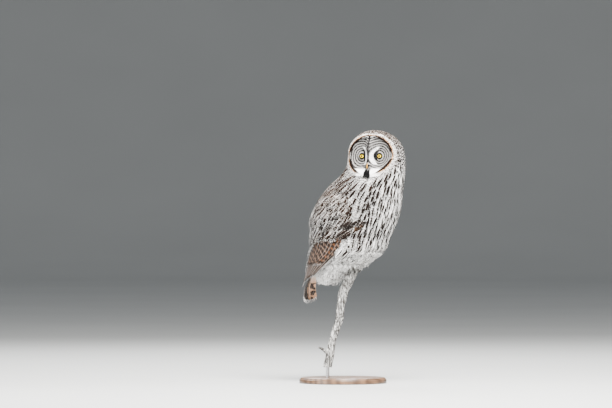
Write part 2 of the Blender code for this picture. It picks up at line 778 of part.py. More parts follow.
def perch_point(along, height):
    return VIEW_RIGHT * along + VIEW_NEAR * PERCH_NEAR + Vector((0, 0, height))


def perch_axis():
    top = perch_point(*PERCH_PATH[0][:2])
    return top, (top - perch_point(*PERCH_PATH[2][:2])).normalized()


def toe_path(side, turn, reach, lift):
    """A toe's line from the foot's pad out over the perch's rim and down its side."""
    top, axis = perch_axis()
    ahead = Vector((0, -1, 0))
    ahead = (ahead - axis * ahead.dot(axis)).normalized()
    leftward = axis.cross(ahead)
    way = ahead * math.cos(math.radians(turn)) + leftward * side * math.sin(math.radians(turn))
    radius = PERCH_PATH[0][2]
    start = Vector((side * LEG_APART * 0.85, -LEG_FORWARD, FOOT_TOP - 0.007))
    rim = top + way * (radius + 0.001) + axis * lift
    outer = top + way * (radius + 0.0022 + lift * 0.8) - axis * 0.003
    tip = top + way * (radius + 0.0030 + lift * 0.9) - axis * (0.004 + reach)
    return [start, start.lerp(rim, 0.55), rim, outer, tip]


def make_foot(name, side, collection, material):
    """Feathered foot: a pad with four toes curled over the perch's rim, joined into one body."""
    centre = Vector((side * LEG_APART, -LEG_FORWARD, FOOT_TOP - PAD_DEPTH / 2))
    bm = bmesh.new()
    bmesh.ops.create_cone(
        bm, cap_ends=True, segments=12, radius1=PAD_RADII[0], radius2=PAD_RADII[1], depth=PAD_DEPTH
    )
    bmesh.ops.translate(bm, vec=centre, verts=bm.verts)
    pad = new_object(name, mesh_from(name, bm), material, collection)
    toes = []
    for turn, reach in zip(TOE_TURNS, TOE_REACH):
        toe = loft(tube_rings(toe_path(side, turn, reach, TOE_LIFT), TOE_RADII, 6))
        toes.append(new_object("toe", mesh_from("toe", toe), material, collection))
    boolean(pad, toes, "UNION")
    return boolean(pad, [perch_cutter(collection, material)], "DIFFERENCE")


def make_claw(name, side, turn, reach, collection, material):
    """A claw that carries on a toe's line and hooks inward, kept clear of the perch."""
    top, axis = perch_axis()
    path = toe_path(side, turn, reach, TOE_LIFT)
    down = (path[-1] - path[-2]).normalized()
    inward = top - path[-1]
    inward = (inward - axis * inward.dot(axis)).normalized()
    start = path[-1] + down * GAP
    line = [start + down * along + inward * hook for along, hook, _ in CLAW_LINE]
    rings = tube_rings(line, [radius for _, _, radius in CLAW_LINE], 6)
    claw = new_object(name, mesh_from(name, loft(rings)), material, collection)
    return boolean(claw, [perch_cutter(collection, material)], "DIFFERENCE")


# Perch and stand

def perch_rings(grow):
    """Rings of the weathered branch, each lightly knobbled, grown outward by a distance."""
    table = [(h, a, r) for a, h, r in PERCH_PATH]
    path, radii = [], []
    for k in range(PERCH_STEPS + 1):
        height = PERCH_PATH[0][1] + (PERCH_PATH[-1][1] - PERCH_PATH[0][1]) * k / PERCH_STEPS
        along, radius = smooth(table, height)
        path.append(perch_point(along, height))
        radii.append(radius)
    rings = tube_rings(path, radii, PERCH_SIDES)
    low = PERCH_PATH[-1][1]
    rings[-1] = [Vector((p.x, p.y, low)) for p in rings[-1]]
    for k, ring in enumerate(rings):
        centre = path[k]
        for q, point in enumerate(ring):
            knobble = 1 + 0.05 * math.sin(1.7 * k + 1.3 * q) + 0.04 * math.sin(0.9 * k - 2.1 * q)
            knobble = knobble if 0 < k < PERCH_STEPS else 1.0
            out = (point - centre).normalized()
            ring[q] = centre + (point - centre) * knobble + out * grow
    _, axis = perch_axis()
    rings[0] = [p + axis * grow for p in rings[0]]
    return rings


def perch_cutter(collection, material):
    return new_object("cut", mesh_from("cut", loft(perch_rings(GAP))), material, collection)


def make_perch(collection, material):
    perch = new_object("perch", mesh_from("perch", loft(perch_rings(0.0))), material, collection)
    root, tip = perch_point(*TWIG_ENDS[0]), perch_point(*TWIG_ENDS[1])
    path = [root.lerp(tip, t) + Vector((0, 0, TWIG_BOW * math.sin(math.pi * t))) for t, _ in TWIG_ROWS]
    twig = mesh_from("twig", loft(tube_rings(path, [radius for _, radius in TWIG_ROWS], 8)))
    return boolean(perch, [new_object("twig", twig, material, collection)], "UNION")


def make_stand(collection, wood, steel):
    bm = bmesh.new()
    bmesh.ops.create_cone(
        bm, cap_ends=True, segments=40, radius1=BASE_RADIUS, radius2=BASE_RADIUS, depth=BASE_THICK
    )
    bmesh.ops.translate(bm, vec=(0, 0, BASE_THICK / 2), verts=bm.verts)
    base = new_object("stand_base", mesh_from("stand_base", bm), wood, collection)
    bevel = base.modifiers.new("Bevel", "BEVEL")
    bevel.width = BASE_BEVEL
    bevel.segments = 1
    bevel.limit_method = "ANGLE"
    foot = perch_point(*PERCH_PATH[-1][:2])
    bottom, top = BASE_THICK + GAP, PERCH_PATH[-1][1] - GAP
    bm = bmesh.new()
    bmesh.ops.create_cone(
        bm, cap_ends=True, segments=16, radius1=ROD_RADIUS, radius2=ROD_RADIUS, depth=top - bottom
    )
    bmesh.ops.translate(bm, vec=(foot.x, foot.y, (top + bottom) / 2), verts=bm.verts)
    new_object("stand_rod", mesh_from("stand_rod", bm), steel, collection)


def main():
    for obj in list(bpy.data.objects):
        bpy.data.objects.remove(obj)
    scene = bpy.context.scene.collection
    owl = bpy.data.collections.new("great_grey_owl")
    scene.children.link(owl)

    plumage = make_material("plumage", (0.52, 0.50, 0.47), 0.9)
    flight = make_material("flight_feathers", (0.24, 0.19, 0.15), 0.8)
    iris = make_material("eye", (0.85, 0.68, 0.06), 0.1)
    horn = make_material("bill", (0.75, 0.55, 0.20), 0.4)
    black = make_material("claw", (0.03, 0.03, 0.03), 0.35)
    bark = make_material("weathered_wood", (0.42, 0.41, 0.39), 0.9)
    base_wood = make_material("stand_wood", (0.30, 0.20, 0.12), 0.5)
    steel = make_material("stand_steel", (0.55, 0.55, 0.56), 0.3, 1.0)

    torso = make_torso(owl, plumage)
    make_neck(owl, plumage)
    head = make_head(owl, plumage)

    boolean(head, ruff(owl, plumage), "UNION")
    sockets = []
    for side, name in ((1, "eye_left"), (-1, "eye_right")):
        boolean(head, [lid_ring(side, owl, plumage)], "UNION")
        centre = head_place(side * EYE_APART, -EYE_DROP, EYE_DEEP)
        ball(name, centre, EYE_RADIUS, owl, iris)
        sockets.append(ball("socket", centre, EYE_RADIUS + GAP, owl, plumage))
    sockets.append(box_in_head(*BILL_POCKET, owl, plumage))
    boolean(head, sockets, "DIFFERENCE")
    bill = make_bill("bill_upper", BILL_UPPER, owl, horn)
    across, up, ahead_by = NOSTRIL_PLACE
    nostrils = [
        ball("nostril", head_place(side * across, up, ahead_by), NOSTRIL_RADIUS, owl, horn, 6, 4)
        for side in (1, -1)
    ]
    boolean(bill, nostrils, "DIFFERENCE")
    make_bill("bill_lower", BILL_LOWER, owl, horn)

    cutters = []
    for side, name in ((1, "wing_left"), (-1, "wing_right")):
        make_wing(name, side, owl, flight)
        cutters.append(wing_recess(side, owl, flight))
    make_tail("tail", owl, flight)
    cutters.append(tail_slab("cut", TAIL_HALF_THICK + GAP, 2 * GAP, TAIL_CUT_LOW, owl, flight))
    boolean(torso, cutters, "DIFFERENCE")

    boolean(torso, fringe(owl, plumage), "UNION")
    path = [Vector((0, -LEG_FORWARD, height)) for height, _ in POCKET_ROWS]
    pocket = mesh_from("pocket", loft(tube_rings(path, [radius for _, radius in POCKET_ROWS], 18)))
    boolean(torso, [new_object("pocket", pocket, plumage, owl)], "DIFFERENCE")

    for side, word in ((1, "left"), (-1, "right")):
        make_leg(f"leg_{word}", side, owl, plumage)
        make_foot(f"foot_{word}", side, owl, plumage)
        for k, (turn, reach) in enumerate(zip(TOE_TURNS, TOE_REACH), 1):
            make_claw(f"claw_{word}_{k}", side, turn, reach, owl, black)

    make_perch(owl, bark)
    make_stand(owl, base_wood, steel)


main()
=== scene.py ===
"""Looks of the great grey owl on its branch and display stand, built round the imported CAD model."""

import functools
import math

import bpy
import numpy as np
from mathutils import Matrix, Vector


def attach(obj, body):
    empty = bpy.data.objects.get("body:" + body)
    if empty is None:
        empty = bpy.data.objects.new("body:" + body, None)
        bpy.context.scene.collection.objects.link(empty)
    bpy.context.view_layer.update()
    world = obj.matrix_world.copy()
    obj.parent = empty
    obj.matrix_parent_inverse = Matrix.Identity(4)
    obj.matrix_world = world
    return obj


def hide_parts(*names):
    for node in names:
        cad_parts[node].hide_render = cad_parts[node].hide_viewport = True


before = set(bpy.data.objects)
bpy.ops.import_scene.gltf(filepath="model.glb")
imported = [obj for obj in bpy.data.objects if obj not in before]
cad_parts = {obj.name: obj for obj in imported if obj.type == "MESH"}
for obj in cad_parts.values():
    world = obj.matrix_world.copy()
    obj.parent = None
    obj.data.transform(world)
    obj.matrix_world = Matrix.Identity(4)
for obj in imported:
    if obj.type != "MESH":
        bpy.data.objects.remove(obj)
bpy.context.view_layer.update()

RNG = np.random.default_rng(11)

# The CAD model's own measures, in metres
BODY = (
    (0.784, 0.1350, 0.0945, 0.0945, 0.00),
    (0.767, 0.1345, 0.0970, 0.0960, 0.00),
    (0.750, 0.1330, 0.1000, 0.0960, 0.00),
    (0.733, 0.1290, 0.1040, 0.0945, 0.00),
    (0.712, 0.1190, 0.1110, 0.0960, 0.00),
    (0.698, 0.1095, 0.1170, 0.1010, 0.02),
    (0.681, 0.0950, 0.1275, 0.1080, 0.04),
    (0.664, 0.0844, 0.1350, 0.1145, 0.06),
    (0.6295, 0.0663, 0.1476, 0.1210, 0.10),
    (0.595, 0.0537, 0.1539, 0.1240, 0.14),
    (0.561, 0.0407, 0.1550, 0.1240, 0.16),
    (0.526, 0.0330, 0.1460, 0.1220, 0.18),
    (0.492, 0.0222, 0.1389, 0.1170, 0.20),
    (0.4575, 0.0136, 0.1325, 0.1080, 0.20),
    (0.423, -0.0200, 0.1100, 0.0940, 0.20),
    (0.389, -0.0520, 0.0850, 0.0850, 0.20),
    (0.354, -0.0780, 0.0670, 0.0790, 0.20),
    (0.334, -0.0950, 0.0560, 0.0760, 0.18),
    (0.272, -0.0940, 0.0450, 0.1000, 0.10),
)
BELLY = (
    (0.4575, 0.0136, 0.1325, 0.1080, 0.20),
    (0.440, 0.0150, 0.1200, 0.0960, 0.16),
    (0.427, 0.0100, 0.1060, 0.0850, 0.10),
    (0.4145, 0.0010, 0.0960, 0.0750, 0.05),
    (0.404, -0.0190, 0.0760, 0.0660, 0.00),
    (0.388, -0.0420, 0.0600, 0.0560, 0.00),
    (0.371, -0.0540, 0.0460, 0.0480, 0.00),
    (0.354, -0.0620, 0.0340, 0.0400, 0.00),
    (0.341, -0.0680, 0.0230, 0.0300, 0.00),
)
CROWN_HEIGHT = 0.784
CROWN_RISE = 0.0827
WING_EDGE = (
    (0.671, 88.0, 112.0),
    (0.647, 73.0, 140.0),
    (0.630, 65.0, 152.0),
    (0.588, 56.0, 168.0),
    (0.544, 52.0, 176.0),
    (0.520, 54.5, 178.5),
    (0.499, 59.0, 178.5),
    (0.475, 66.0, 178.5),
    (0.440, 70.0, 178.0),
    (0.406, 73.0, 176.0),
    (0.372, 78.0, 172.0),
    (0.336, 100.0, 160.0),
)
TAIL_INSET = (
    (0.446, 0.024),
    (0.423, 0.0205),
    (0.389, 0.0160),
    (0.354, 0.0125),
    (0.334, 0.0100),
    (0.303, 0.004),
    (0.272, 0.000),
)
TAIL_SPREAD = ((0.446, 20.0), (0.389, 25.0), (0.354, 31.0), (0.334, 35.0), (0.300, 36.0), (0.272, 31.0))
TAIL_LOW = 0.272
HEAD_TURN = math.radians(80.0)
EYE_HEIGHT = 0.7825
HEAD_CENTRE = np.array((0.0, -0.1345, EYE_HEIGHT))
FACE_HALF_WIDTH = 0.0795
FACE_HALF_HEIGHT = 0.0680
EYE_APART = 0.0320
EYE_DROP = 0.003
EYE_DEEP = 0.0455
EYE_RADIUS = 0.0125
BILL_BASE = 0.0715
VIEW_RIGHT = np.array((0.530, -0.848, 0.0))
VIEW_NEAR = np.array((-0.848, -0.530, 0.0))
PERCH_NEAR = 0.029
PERCH_PATH = (
    (0.0464, 0.4165, 0.0155),
    (0.0400, 0.3975, 0.0175),
    (0.0240, 0.3630, 0.0175),
    (0.0020, 0.3150, 0.0160),
    (-0.0072, 0.2707, 0.0140),
    (-0.0145, 0.2153, 0.0130),
    (-0.0330, 0.1600, 0.0125),
    (-0.0440, 0.1049, 0.0140),
    (-0.0530, 0.0560, 0.0145),
)

AHEAD = np.array((-math.sin(HEAD_TURN), -math.cos(HEAD_TURN), 0.0))
LEFT = np.array((-AHEAD[1], AHEAD[0], 0.0))
UP = np.array((0.0, 0.0, 1.0))


# Feather colours
WHITE = (0.93, 0.92, 0.91)
PALE_GREY = (0.105, 0.098, 0.091)
GREY = (0.22, 0.205, 0.19)
DARK = (0.0050, 0.0036, 0.0030)
BUFF = (0.40, 0.27, 0.165)
TAWNY = (0.115, 0.045, 0.018)

# Outlines of feathers: share of the length and of the half width
BODY_SHAPE = np.array(((0.0, 0.38), (0.30, 0.86), (0.58, 1.0), (0.80, 0.90), (0.93, 0.58), (1.0, 0.10)))
WISP_SHAPE = np.array(((0.0, 0.6), (0.40, 1.0), (0.75, 0.7), (1.0, 0.12)))
LANCE_SHAPE = np.array(((0.0, 0.35), (0.30, 0.90), (0.60, 1.0), (0.82, 0.74), (0.94, 0.40), (1.0, 0.06)))

# rows of hanging locks: height, widest angle from the breast, count, half width, hang, lean
FRINGE_ROWS = (
    (0.4120, 112.0, 44, 0.0040, 0.017, 0.004),
    (0.4030, 118.0, 42, 0.0040, 0.019, 0.005),
    (0.3940, 125.0, 40, 0.0040, 0.021, 0.005),
    (0.3850, 128.0, 36, 0.0040, 0.022, 0.005),
    (0.3760, 125.0, 32, 0.0038, 0.023, 0.004),
    (0.3670, 120.0, 28, 0.0038, 0.022, 0.003),
    (0.3570, 115.0, 22, 0.0036, 0.018, 0.002),
)

# Legs and toes
LEG_APART = 0.0175
LEG_FORWARD = 0.0520
FOOT_TOP = 0.4330
TOE_TURNS = (18.0, 62.0, 112.0, 158.0)
TOE_REACH = (0.014, 0.017, 0.014, 0.012)
TOE_RADIUS = 0.0052

# Outlines of the wing and tail quills
LONG = np.array(((0.0, 0.30), (0.34, 0.76), (0.66, 1.0), (0.88, 0.86), (1.0, 0.45)))
SHORT = np.array(((0.0, 0.32), (0.48, 0.92), (0.80, 0.92), (1.0, 0.50)))
TAIL_SHAPE = np.array(((0.0, 0.60), (0.35, 0.95), (0.75, 1.0), (0.93, 0.86), (1.0, 0.50)))

# quills of the wing: count, first and last share, root height, first and last tip height, root and tip out,
# outline, then white, edge, bars and brown
QUILLS = (
    (10, 0.070, 0.800, 0.500, (0.362, 0.331), (-0.0088, -0.0006), LONG, (0.45, 0.60, 0.25, 0.85)),
    (12, 0.090, 0.860, 0.532, (0.404, 0.398), (-0.0094, 0.0004), LONG, (0.30, 0.30, 0.95, 0.85)),
    (5, 0.640, 0.920, 0.572, (0.452, 0.432), (-0.0094, 0.0018), LONG, (0.90, 0.90, 0.80, 0.30)),
    (10, 0.080, 0.610, 0.556, (0.486, 0.494), (-0.0096, 0.0014), SHORT, (0.60, 0.50, 0.80, 0.55)),
)

# softer coverts and scapulars, the same measures without an outline: white, streak, bars, brown
COVERTS = (
    (7, 0.070, 0.560, 0.572, (0.492, 0.500), (-0.0090, 0.0022), 0.0104, (0.75, 1.00, 0.85, 0.30)),
    (7, 0.060, 0.560, 0.600, (0.526, 0.532), (-0.0090, 0.0020), 0.0104, (0.70, 1.00, 0.85, 0.25)),
    (8, 0.060, 0.560, 0.626, (0.560, 0.564), (-0.0085, 0.0018), 0.0098, (0.70, 1.00, 0.80, 0.30)),
    (8, 0.060, 0.540, 0.649, (0.592, 0.596), (-0.0080, 0.0018), 0.0092, (0.70, 1.00, 0.70, 0.45)),
    (8, 0.070, 0.520, 0.664, (0.620, 0.624), (-0.0070, 0.0016), 0.0086, (0.70, 1.00, 0.60, 0.60)),
    (6, 0.480, 0.900, 0.560, (0.470, 0.462), (-0.0090, 0.0026), 0.0118, (0.85, 0.90, 0.90, 0.20)),
    (7, 0.480, 0.900, 0.592, (0.504, 0.497), (-0.0090, 0.0028), 0.0118, (0.80, 1.00, 0.80, 0.25)),
    (7, 0.470, 0.880, 0.622, (0.540, 0.534), (-0.0090, 0.0028), 0.0114, (0.80, 1.00, 0.75, 0.30)),
    (6, 0.470, 0.860, 0.646, (0.572, 0.567), (-0.0085, 0.0026), 0.0110, (0.75, 1.00, 0.65, 0.50)),
    (6, 0.470, 0.840, 0.665, (0.606, 0.600), (-0.0075, 0.0022), 0.0104, (0.70, 1.00, 0.60, 0.60)),
)

# loose pale tips along the back edge: share and height of the roots
LOOSE_TIPS = np.array((
    (0.86, 0.606), (0.90, 0.570), (0.86, 0.545), (0.92, 0.520), (0.88, 0.492), (0.93, 0.466), (0.90, 0.440),
    (0.78, 0.585), (0.80, 0.530), (0.82, 0.480),
))

# dark tufts at the wrist: first and last share, root and tip height, count, white, brown
WRIST = (
    (0.060, 0.150, 0.562, 0.530, 8, 0.10, 0.05),
    (-0.085, 0.000, 0.572, 0.542, 8, 0.25, 0.15),
    (-0.085, -0.030, 0.556, 0.530, 6, 0.00, 0.95),
    (0.020, 0.120, 0.528, 0.500, 7, 0.30, 0.30),
)

# The tail's feathers
TAIL_FEATHERS = 12

# Halves of the bill: height, distance ahead, half width and thickness
BILL_UPPER = (
    (-0.0355, 0.0000, 0.0062, 0.0105),
    (-0.0355, 0.0060, 0.0058, 0.0098),
    (-0.0375, 0.0110, 0.0048, 0.0080),
    (-0.0425, 0.0145, 0.0034, 0.0058),
    (-0.0480, 0.0145, 0.0021, 0.0038),
    (-0.0535, 0.0115, 0.0006, 0.0012),
)
BILL_LOWER = (
    (-0.0505, 0.0000, 0.0042, 0.0034),
    (-0.0508, 0.0040, 0.0036, 0.0028),
    (-0.0510, 0.0085, 0.0020, 0.0014),
)

# Camera, in millimetres of lens and metres of distance, with its aim to the right of the origin and above it
CAMERA_LENS = 256.5
CAMERA_SENSOR = 36.0
CAMERA_DISTANCE = 15.0
CAMERA_AIM_RIGHT = -0.1273
CAMERA_AIM_HEIGHT = 0.616

# Lights: name, watts, then metres towards the camera, to its right and up from their aim, and colour
LIGHTS = (
    ("key", 1650.0, 2.3, 0.5, 2.7, (1.0, 0.98, 0.95)),
    ("fill", 120.0, 2.2, -3.2, 0.1, (1.0, 1.0, 1.0)),
    ("back", 320.0, -2.6, -0.4, 2.4, (1.0, 1.0, 1.0)),
)
LIGHT_SIZE = 2.0
LIGHT_AIM_HEIGHT = 0.60
SKY_COLOUR = (0.92, 0.96, 1.0, 1.0)
SKY_STRENGTH = 0.66

# Floor: sides, radius of its flat part and radius of the bend that sweeps up
FLOOR_SIDES = 96
FLOOR_FLAT = 20.0
FLOOR_BEND = 8.0


# Surfaces, all worked out for many points at once

@functools.cache
def curve(table, count=900):
    """A dense copy of a table along a smooth curve through its rows, by rising height."""
    rows = np.array(table, float)[::-1]
    heights = rows[:, 0]
    slopes = np.gradient(rows[:, 1:], heights, axis=0)
    x = np.linspace(heights[0], heights[-1], count)
    i = np.clip(np.searchsorted(heights, x, side="right") - 1, 0, len(rows) - 2)
    h = (heights[i + 1] - heights[i])[:, None]
    t = ((x - heights[i]) / (heights[i + 1] - heights[i]))[:, None]
    values = (
        (2 * t**3 - 3 * t**2 + 1) * rows[i, 1:]
        + (t**3 - 2 * t**2 + t) * h * slopes[i]
        + (-2 * t**3 + 3 * t**2) * rows[i + 1, 1:]
        + (t**3 - t**2) * h * slopes[i + 1]
    )
    return x, values


def look_up(table, heights):
    x, values = curve(table)
    return [np.interp(heights, x, values[:, k]) for k in range(values.shape[1])]


def section(heights, table=BODY):
    forward, depth, width, egg = look_up(table, heights)
    rise = np.clip((heights - CROWN_HEIGHT) / CROWN_RISE, 0.0, 1.0)
    shrink = np.sqrt(np.maximum(1.0 - rise * rise, 0.0))
    return forward - 0.006 * rise, depth * shrink, width * shrink, egg


def plume(heights, angles, out=0.0, table=BODY):
    """Points of the plumage's outline, with the angle from the breast rising to the bird's left."""
    heights, angles = np.broadcast_arrays(np.asarray(heights, float), np.asarray(angles, float))
    forward, depth, width, egg = section(heights, table)
    sine, cosine = np.sin(angles), np.cos(angles)
    x = width * sine * (1.0 + egg * cosine)
    f = forward + depth * cosine
    nx = depth * sine
    nf = width * (cosine + egg * (cosine * cosine - sine * sine))
    length = np.maximum(np.hypot(nx, nf), 1e-9)
    return np.stack((x + out * nx / length, -(f + out * nf / length), heights), axis=-1)


def wing_spot(side, share, heights, out):
    front, back = look_up(WING_EDGE, heights)
    degrees = front + (back - front) * share
    return plume(heights, side * np.radians(np.minimum(degrees, 179.9)), out)


def tail_spot(share, heights, out):
    (inset,) = look_up(TAIL_INSET, heights)
    (spread,) = look_up(TAIL_SPREAD, heights)
    return plume(heights, math.pi - share * np.radians(spread), out - inset)


def head_place(across, up, ahead_by):
    across, up, ahead_by = (np.asarray(v, float)[..., None] for v in (across, up, ahead_by))
    return HEAD_CENTRE + LEFT * across + UP * up + AHEAD * ahead_by


def reach(ways, starts=HEAD_CENTRE):
    """How far the plumage's outline lies along each direction from the head's centre."""
    low, high = np.zeros(ways.shape[:-1]), np.full(ways.shape[:-1], 0.30)
    for _ in range(26):
        mid = (low + high) / 2
        points = starts + ways * mid[..., None]
        forward, depth, width, _ = section(np.maximum(points[..., 2], 0.60))
        over = (points[..., 2] > CROWN_HEIGHT + CROWN_RISE) | (width < 1e-6)
        size = np.hypot(
            points[..., 0] / np.maximum(width, 1e-6), (-points[..., 1] - forward) / np.maximum(depth, 1e-6)
        )
        inside = (size <= 1.0) & ~over
        low, high = np.where(inside, mid, low), np.where(inside, high, mid)
    return low


def rim_place(turn, share):
    notch = 1.0 - 0.07 * np.exp(-(((turn - math.pi / 2) / 0.22) ** 2))
    return FACE_HALF_WIDTH * np.cos(turn) * share * notch, FACE_HALF_HEIGHT * np.sin(turn) * share * notch


def face_ahead(across, up, share, rim):
    """The face's two shallow dishes, the ridge between them and the white crescents beside it."""
    ridge = 0.033 * np.exp(-((across / 0.0125) ** 2))
    ridge *= 1.0 - 0.45 * np.maximum(up / FACE_HALF_HEIGHT, 0.0) ** 2
    crescent = 0.008 * np.exp(-(((np.abs(across) - 0.014) / 0.006) ** 2)) * np.exp(-((up / 0.034) ** 2))
    low_face = 0.020 * np.maximum(-up / FACE_HALF_HEIGHT, 0.0) ** 2
    dish = 0.049 + 0.003 * share**2 + ridge + crescent + low_face
    blend = np.clip((share - 0.62) / 0.38, 0.0, 1.0)
    blend = blend * blend * (3 - 2 * blend)
    return dish * (1 - blend) + rim * blend


def face_point(turn, share, lift=0.0):
    """A point of the facial disc, share 0 in its middle to 1 at its rim."""
    across, up = rim_place(turn, share)
    rim_across, rim_up = rim_place(turn, 1.0)
    starts = head_place(rim_across, rim_up, 0.0)
    rim = reach(np.broadcast_to(AHEAD, starts.shape), starts)
    return head_place(across, up, face_ahead(across, up, share, rim) + lift)


def face_measures(points):
    """Across, up and ahead of points in the head's own measures."""
    local = points - HEAD_CENTRE
    return local @ LEFT, local @ UP, local @ AHEAD


def face_share(points):
    """How far out from the middle of the facial disc points lie, 1 at the rim."""
    across, up, _ = face_measures(points)
    turn = np.arctan2(up / FACE_HALF_HEIGHT, across / FACE_HALF_WIDTH)
    rim_across, rim_up = rim_place(turn, 1.0)
    return np.hypot(across, up) / np.hypot(rim_across, rim_up), turn


def step(x, low, high):
    t = np.clip((x - low) / (high - low), 0.0, 1.0)
    return t * t * (3 - 2 * t)


# Meshes

def grid_faces(rows, columns, wrap=False):
    r, c = np.meshgrid(np.arange(rows - 1), np.arange(columns if wrap else columns - 1), indexing="ij")
    a = r * columns + c
    b = r * columns + (c + 1) % columns
    return np.stack((a, b, b + columns, a + columns), axis=-1).reshape(-1, 4)


def make_object(name, points, faces, material=None):
    mesh = bpy.data.meshes.new(name)
    mesh.from_pydata([tuple(p) for p in points], [], [tuple(int(i) for i in f) for f in faces])
    mesh.update()
    obj = bpy.data.objects.new(name, mesh)
    bpy.context.scene.collection.objects.link(obj)
    if material:
        mesh.materials.append(material)
    mesh.shade_smooth()
    return obj


def fast_mesh(name, points, loops, sizes):
    """A mesh from flat arrays: points, the vertex of every face corner, and the size of every face."""
    mesh = bpy.data.meshes.new(name)
    mesh.vertices.add(len(points))
    mesh.vertices.foreach_set("co", np.asarray(points, np.float32).ravel())
    mesh.loops.add(len(loops))
    mesh.loops.foreach_set("vertex_index", np.asarray(loops, np.int32))
    mesh.polygons.add(len(sizes))
    starts = np.concatenate(([0], np.cumsum(sizes)[:-1]))
    mesh.polygons.foreach_set("loop_start", np.asarray(starts, np.int32))
    mesh.update(calc_edges=True)
    mesh.validate()
    return mesh


def finish_piece(obj, material=None, smooth_angle=None, replaces=()):
    if material:
        obj.data.materials.clear()
        obj.data.materials.append(material)
    if smooth_angle:
        obj.data.shade_smooth()
        obj.data.set_sharp_from_angle(angle=math.radians(smooth_angle))
    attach(obj, "root")
    if replaces:
        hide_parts(*replaces)
    return obj


def unwrap(points):
    """A place on the unwrap of the bird's own skin: round it, and up it."""
    forward = np.interp(points[..., 2], *[curve_part(BODY, k) for k in (None, 0)])
    u = np.arctan2(points[..., 0], -points[..., 1] - forward) / (2 * math.pi) + 0.5
    v = (points[..., 2] - 0.25) / 0.65
    return np.stack((0.02 + 0.96 * u, 0.02 + 0.96 * np.clip(v, 0, 1)), axis=-1)


def curve_part(table, k):
    x, values = curve(table)
    return x if k is None else values[:, k]


class Coat:
    """Feathers gathered into meshes, with a new mesh begun before one grows too large."""

    LIMIT = 185000

    def __init__(self, name):
        self.name = name
        self.parts = []
        self.begin()

    def begin(self):
        keys = ("points", "loops", "sizes", "uv", "bake", "marks", "lots", "lengths")
        self.lists = {key: [] for key in keys}
        self.parts.append(self.lists)
        self.count = 0
        self.triangles = 0

    def put(self, points, quads, uv, marks, bake_size=0.003):
        """points: blades x vertices x 3, all with the same quads and uv. marks: blades x 4."""
        n, per = points.shape[:2]
        tris = 2 * len(quads)
        done = 0
        while done < n:
            room = int((self.LIMIT - self.triangles) // tris)
            if room < 1:
                self.begin()
                continue
            some = points[done : done + room]
            m = len(some)
            base = self.count + np.arange(m)[:, None, None] * per
            bake = unwrap(some[:, 0])[:, None, :] + (uv[None] - 0.5) * bake_size
            corner_uv = uv[quads.reshape(-1)]
            lists = self.lists
            lists["points"].append(some.reshape(-1, 3))
            lists["loops"].append((quads[None] + base).reshape(-1))
            lists["sizes"].append(np.full(m * len(quads), 4))
            lists["uv"].append(np.broadcast_to(corner_uv, (m, *corner_uv.shape)).reshape(-1, 2))
            lists["bake"].append(bake[:, quads.reshape(-1)].reshape(-1, 2))
            own = marks[done : done + room]
            own = own.reshape(-1, 4) if own.ndim == 3 else np.repeat(own, per, axis=0)
            lists["marks"].append(own)
            lists["lots"].append(np.repeat(RNG.random(m), per))
            run = np.linalg.norm(some[:, -1] - some[:, 0], axis=-1)
            lists["lengths"].append(np.repeat(run, per))
            self.count += m * per
            self.triangles += m * tris
            done += m

    def add(self, middles, sides, normals, widths, along, marks, roof=0.0006, thin=0.0003):
        """Narrow blades with four points to a station. Middles, sides and normals: blades x stations x 3."""
        n, s = middles.shape[:2]
        if n == 0:
            return
        half = widths[..., None]
        high = middles + normals * (roof * np.clip(widths / 0.004, 0.25, 1.0))[..., None]
        low = middles - normals * thin
        ring = np.stack((middles - sides * half, high, middles + sides * half, low), axis=2)
        quads = []
        for station in range(s - 1):
            for q in range(4):
                a, b = station * 4 + q, station * 4 + (q + 1) % 4
                quads.append((a, b, b + 4, a + 4))
        last = (s - 1) * 4
        quads += [(3, 2, 1, 0), (last, last + 1, last + 2, last + 3)]
        uv = np.stack((np.tile(np.array((0.0, 0.5, 1.0, 0.5)), s), np.repeat(along, 4)), axis=-1)
        self.put(ring.reshape(n, s * 4, 3), np.array(quads), uv, marks)

    def build(self, material, replaces=()):
        built = []
        for index, lists in enumerate(self.parts):
            if not lists["points"]:
                continue
            name = self.name if len(self.parts) == 1 else f"{self.name}_{index + 1}"
            data = {key: np.concatenate(values) for key, values in lists.items()}
            mesh = fast_mesh(name, data["points"], data["loops"], data["sizes"])
            for label, key in (("feather", "uv"), ("OFBake", "bake")):
                layer = mesh.uv_layers.new(name=label)
                layer.data.foreach_set("uv", data[key].astype(np.float32).ravel())
            mark = mesh.attributes.new("mark", "FLOAT_COLOR", "POINT")
            mark.data.foreach_set("color", data["marks"].astype(np.float32).ravel())
            for label, key in (("lot", "lots"), ("length", "lengths")):
                layer = mesh.attributes.new(label, "FLOAT", "POINT")
                layer.data.foreach_set("value", data[key].astype(np.float32))
            mesh.shade_smooth()
            mesh.uv_layers.active = mesh.uv_layers["OFBake"]
            obj = bpy.data.objects.new(name, mesh)
            bpy.context.scene.collection.objects.link(obj)
            built.append(finish_piece(obj, material, replaces=replaces))
        return built


# Node graphs

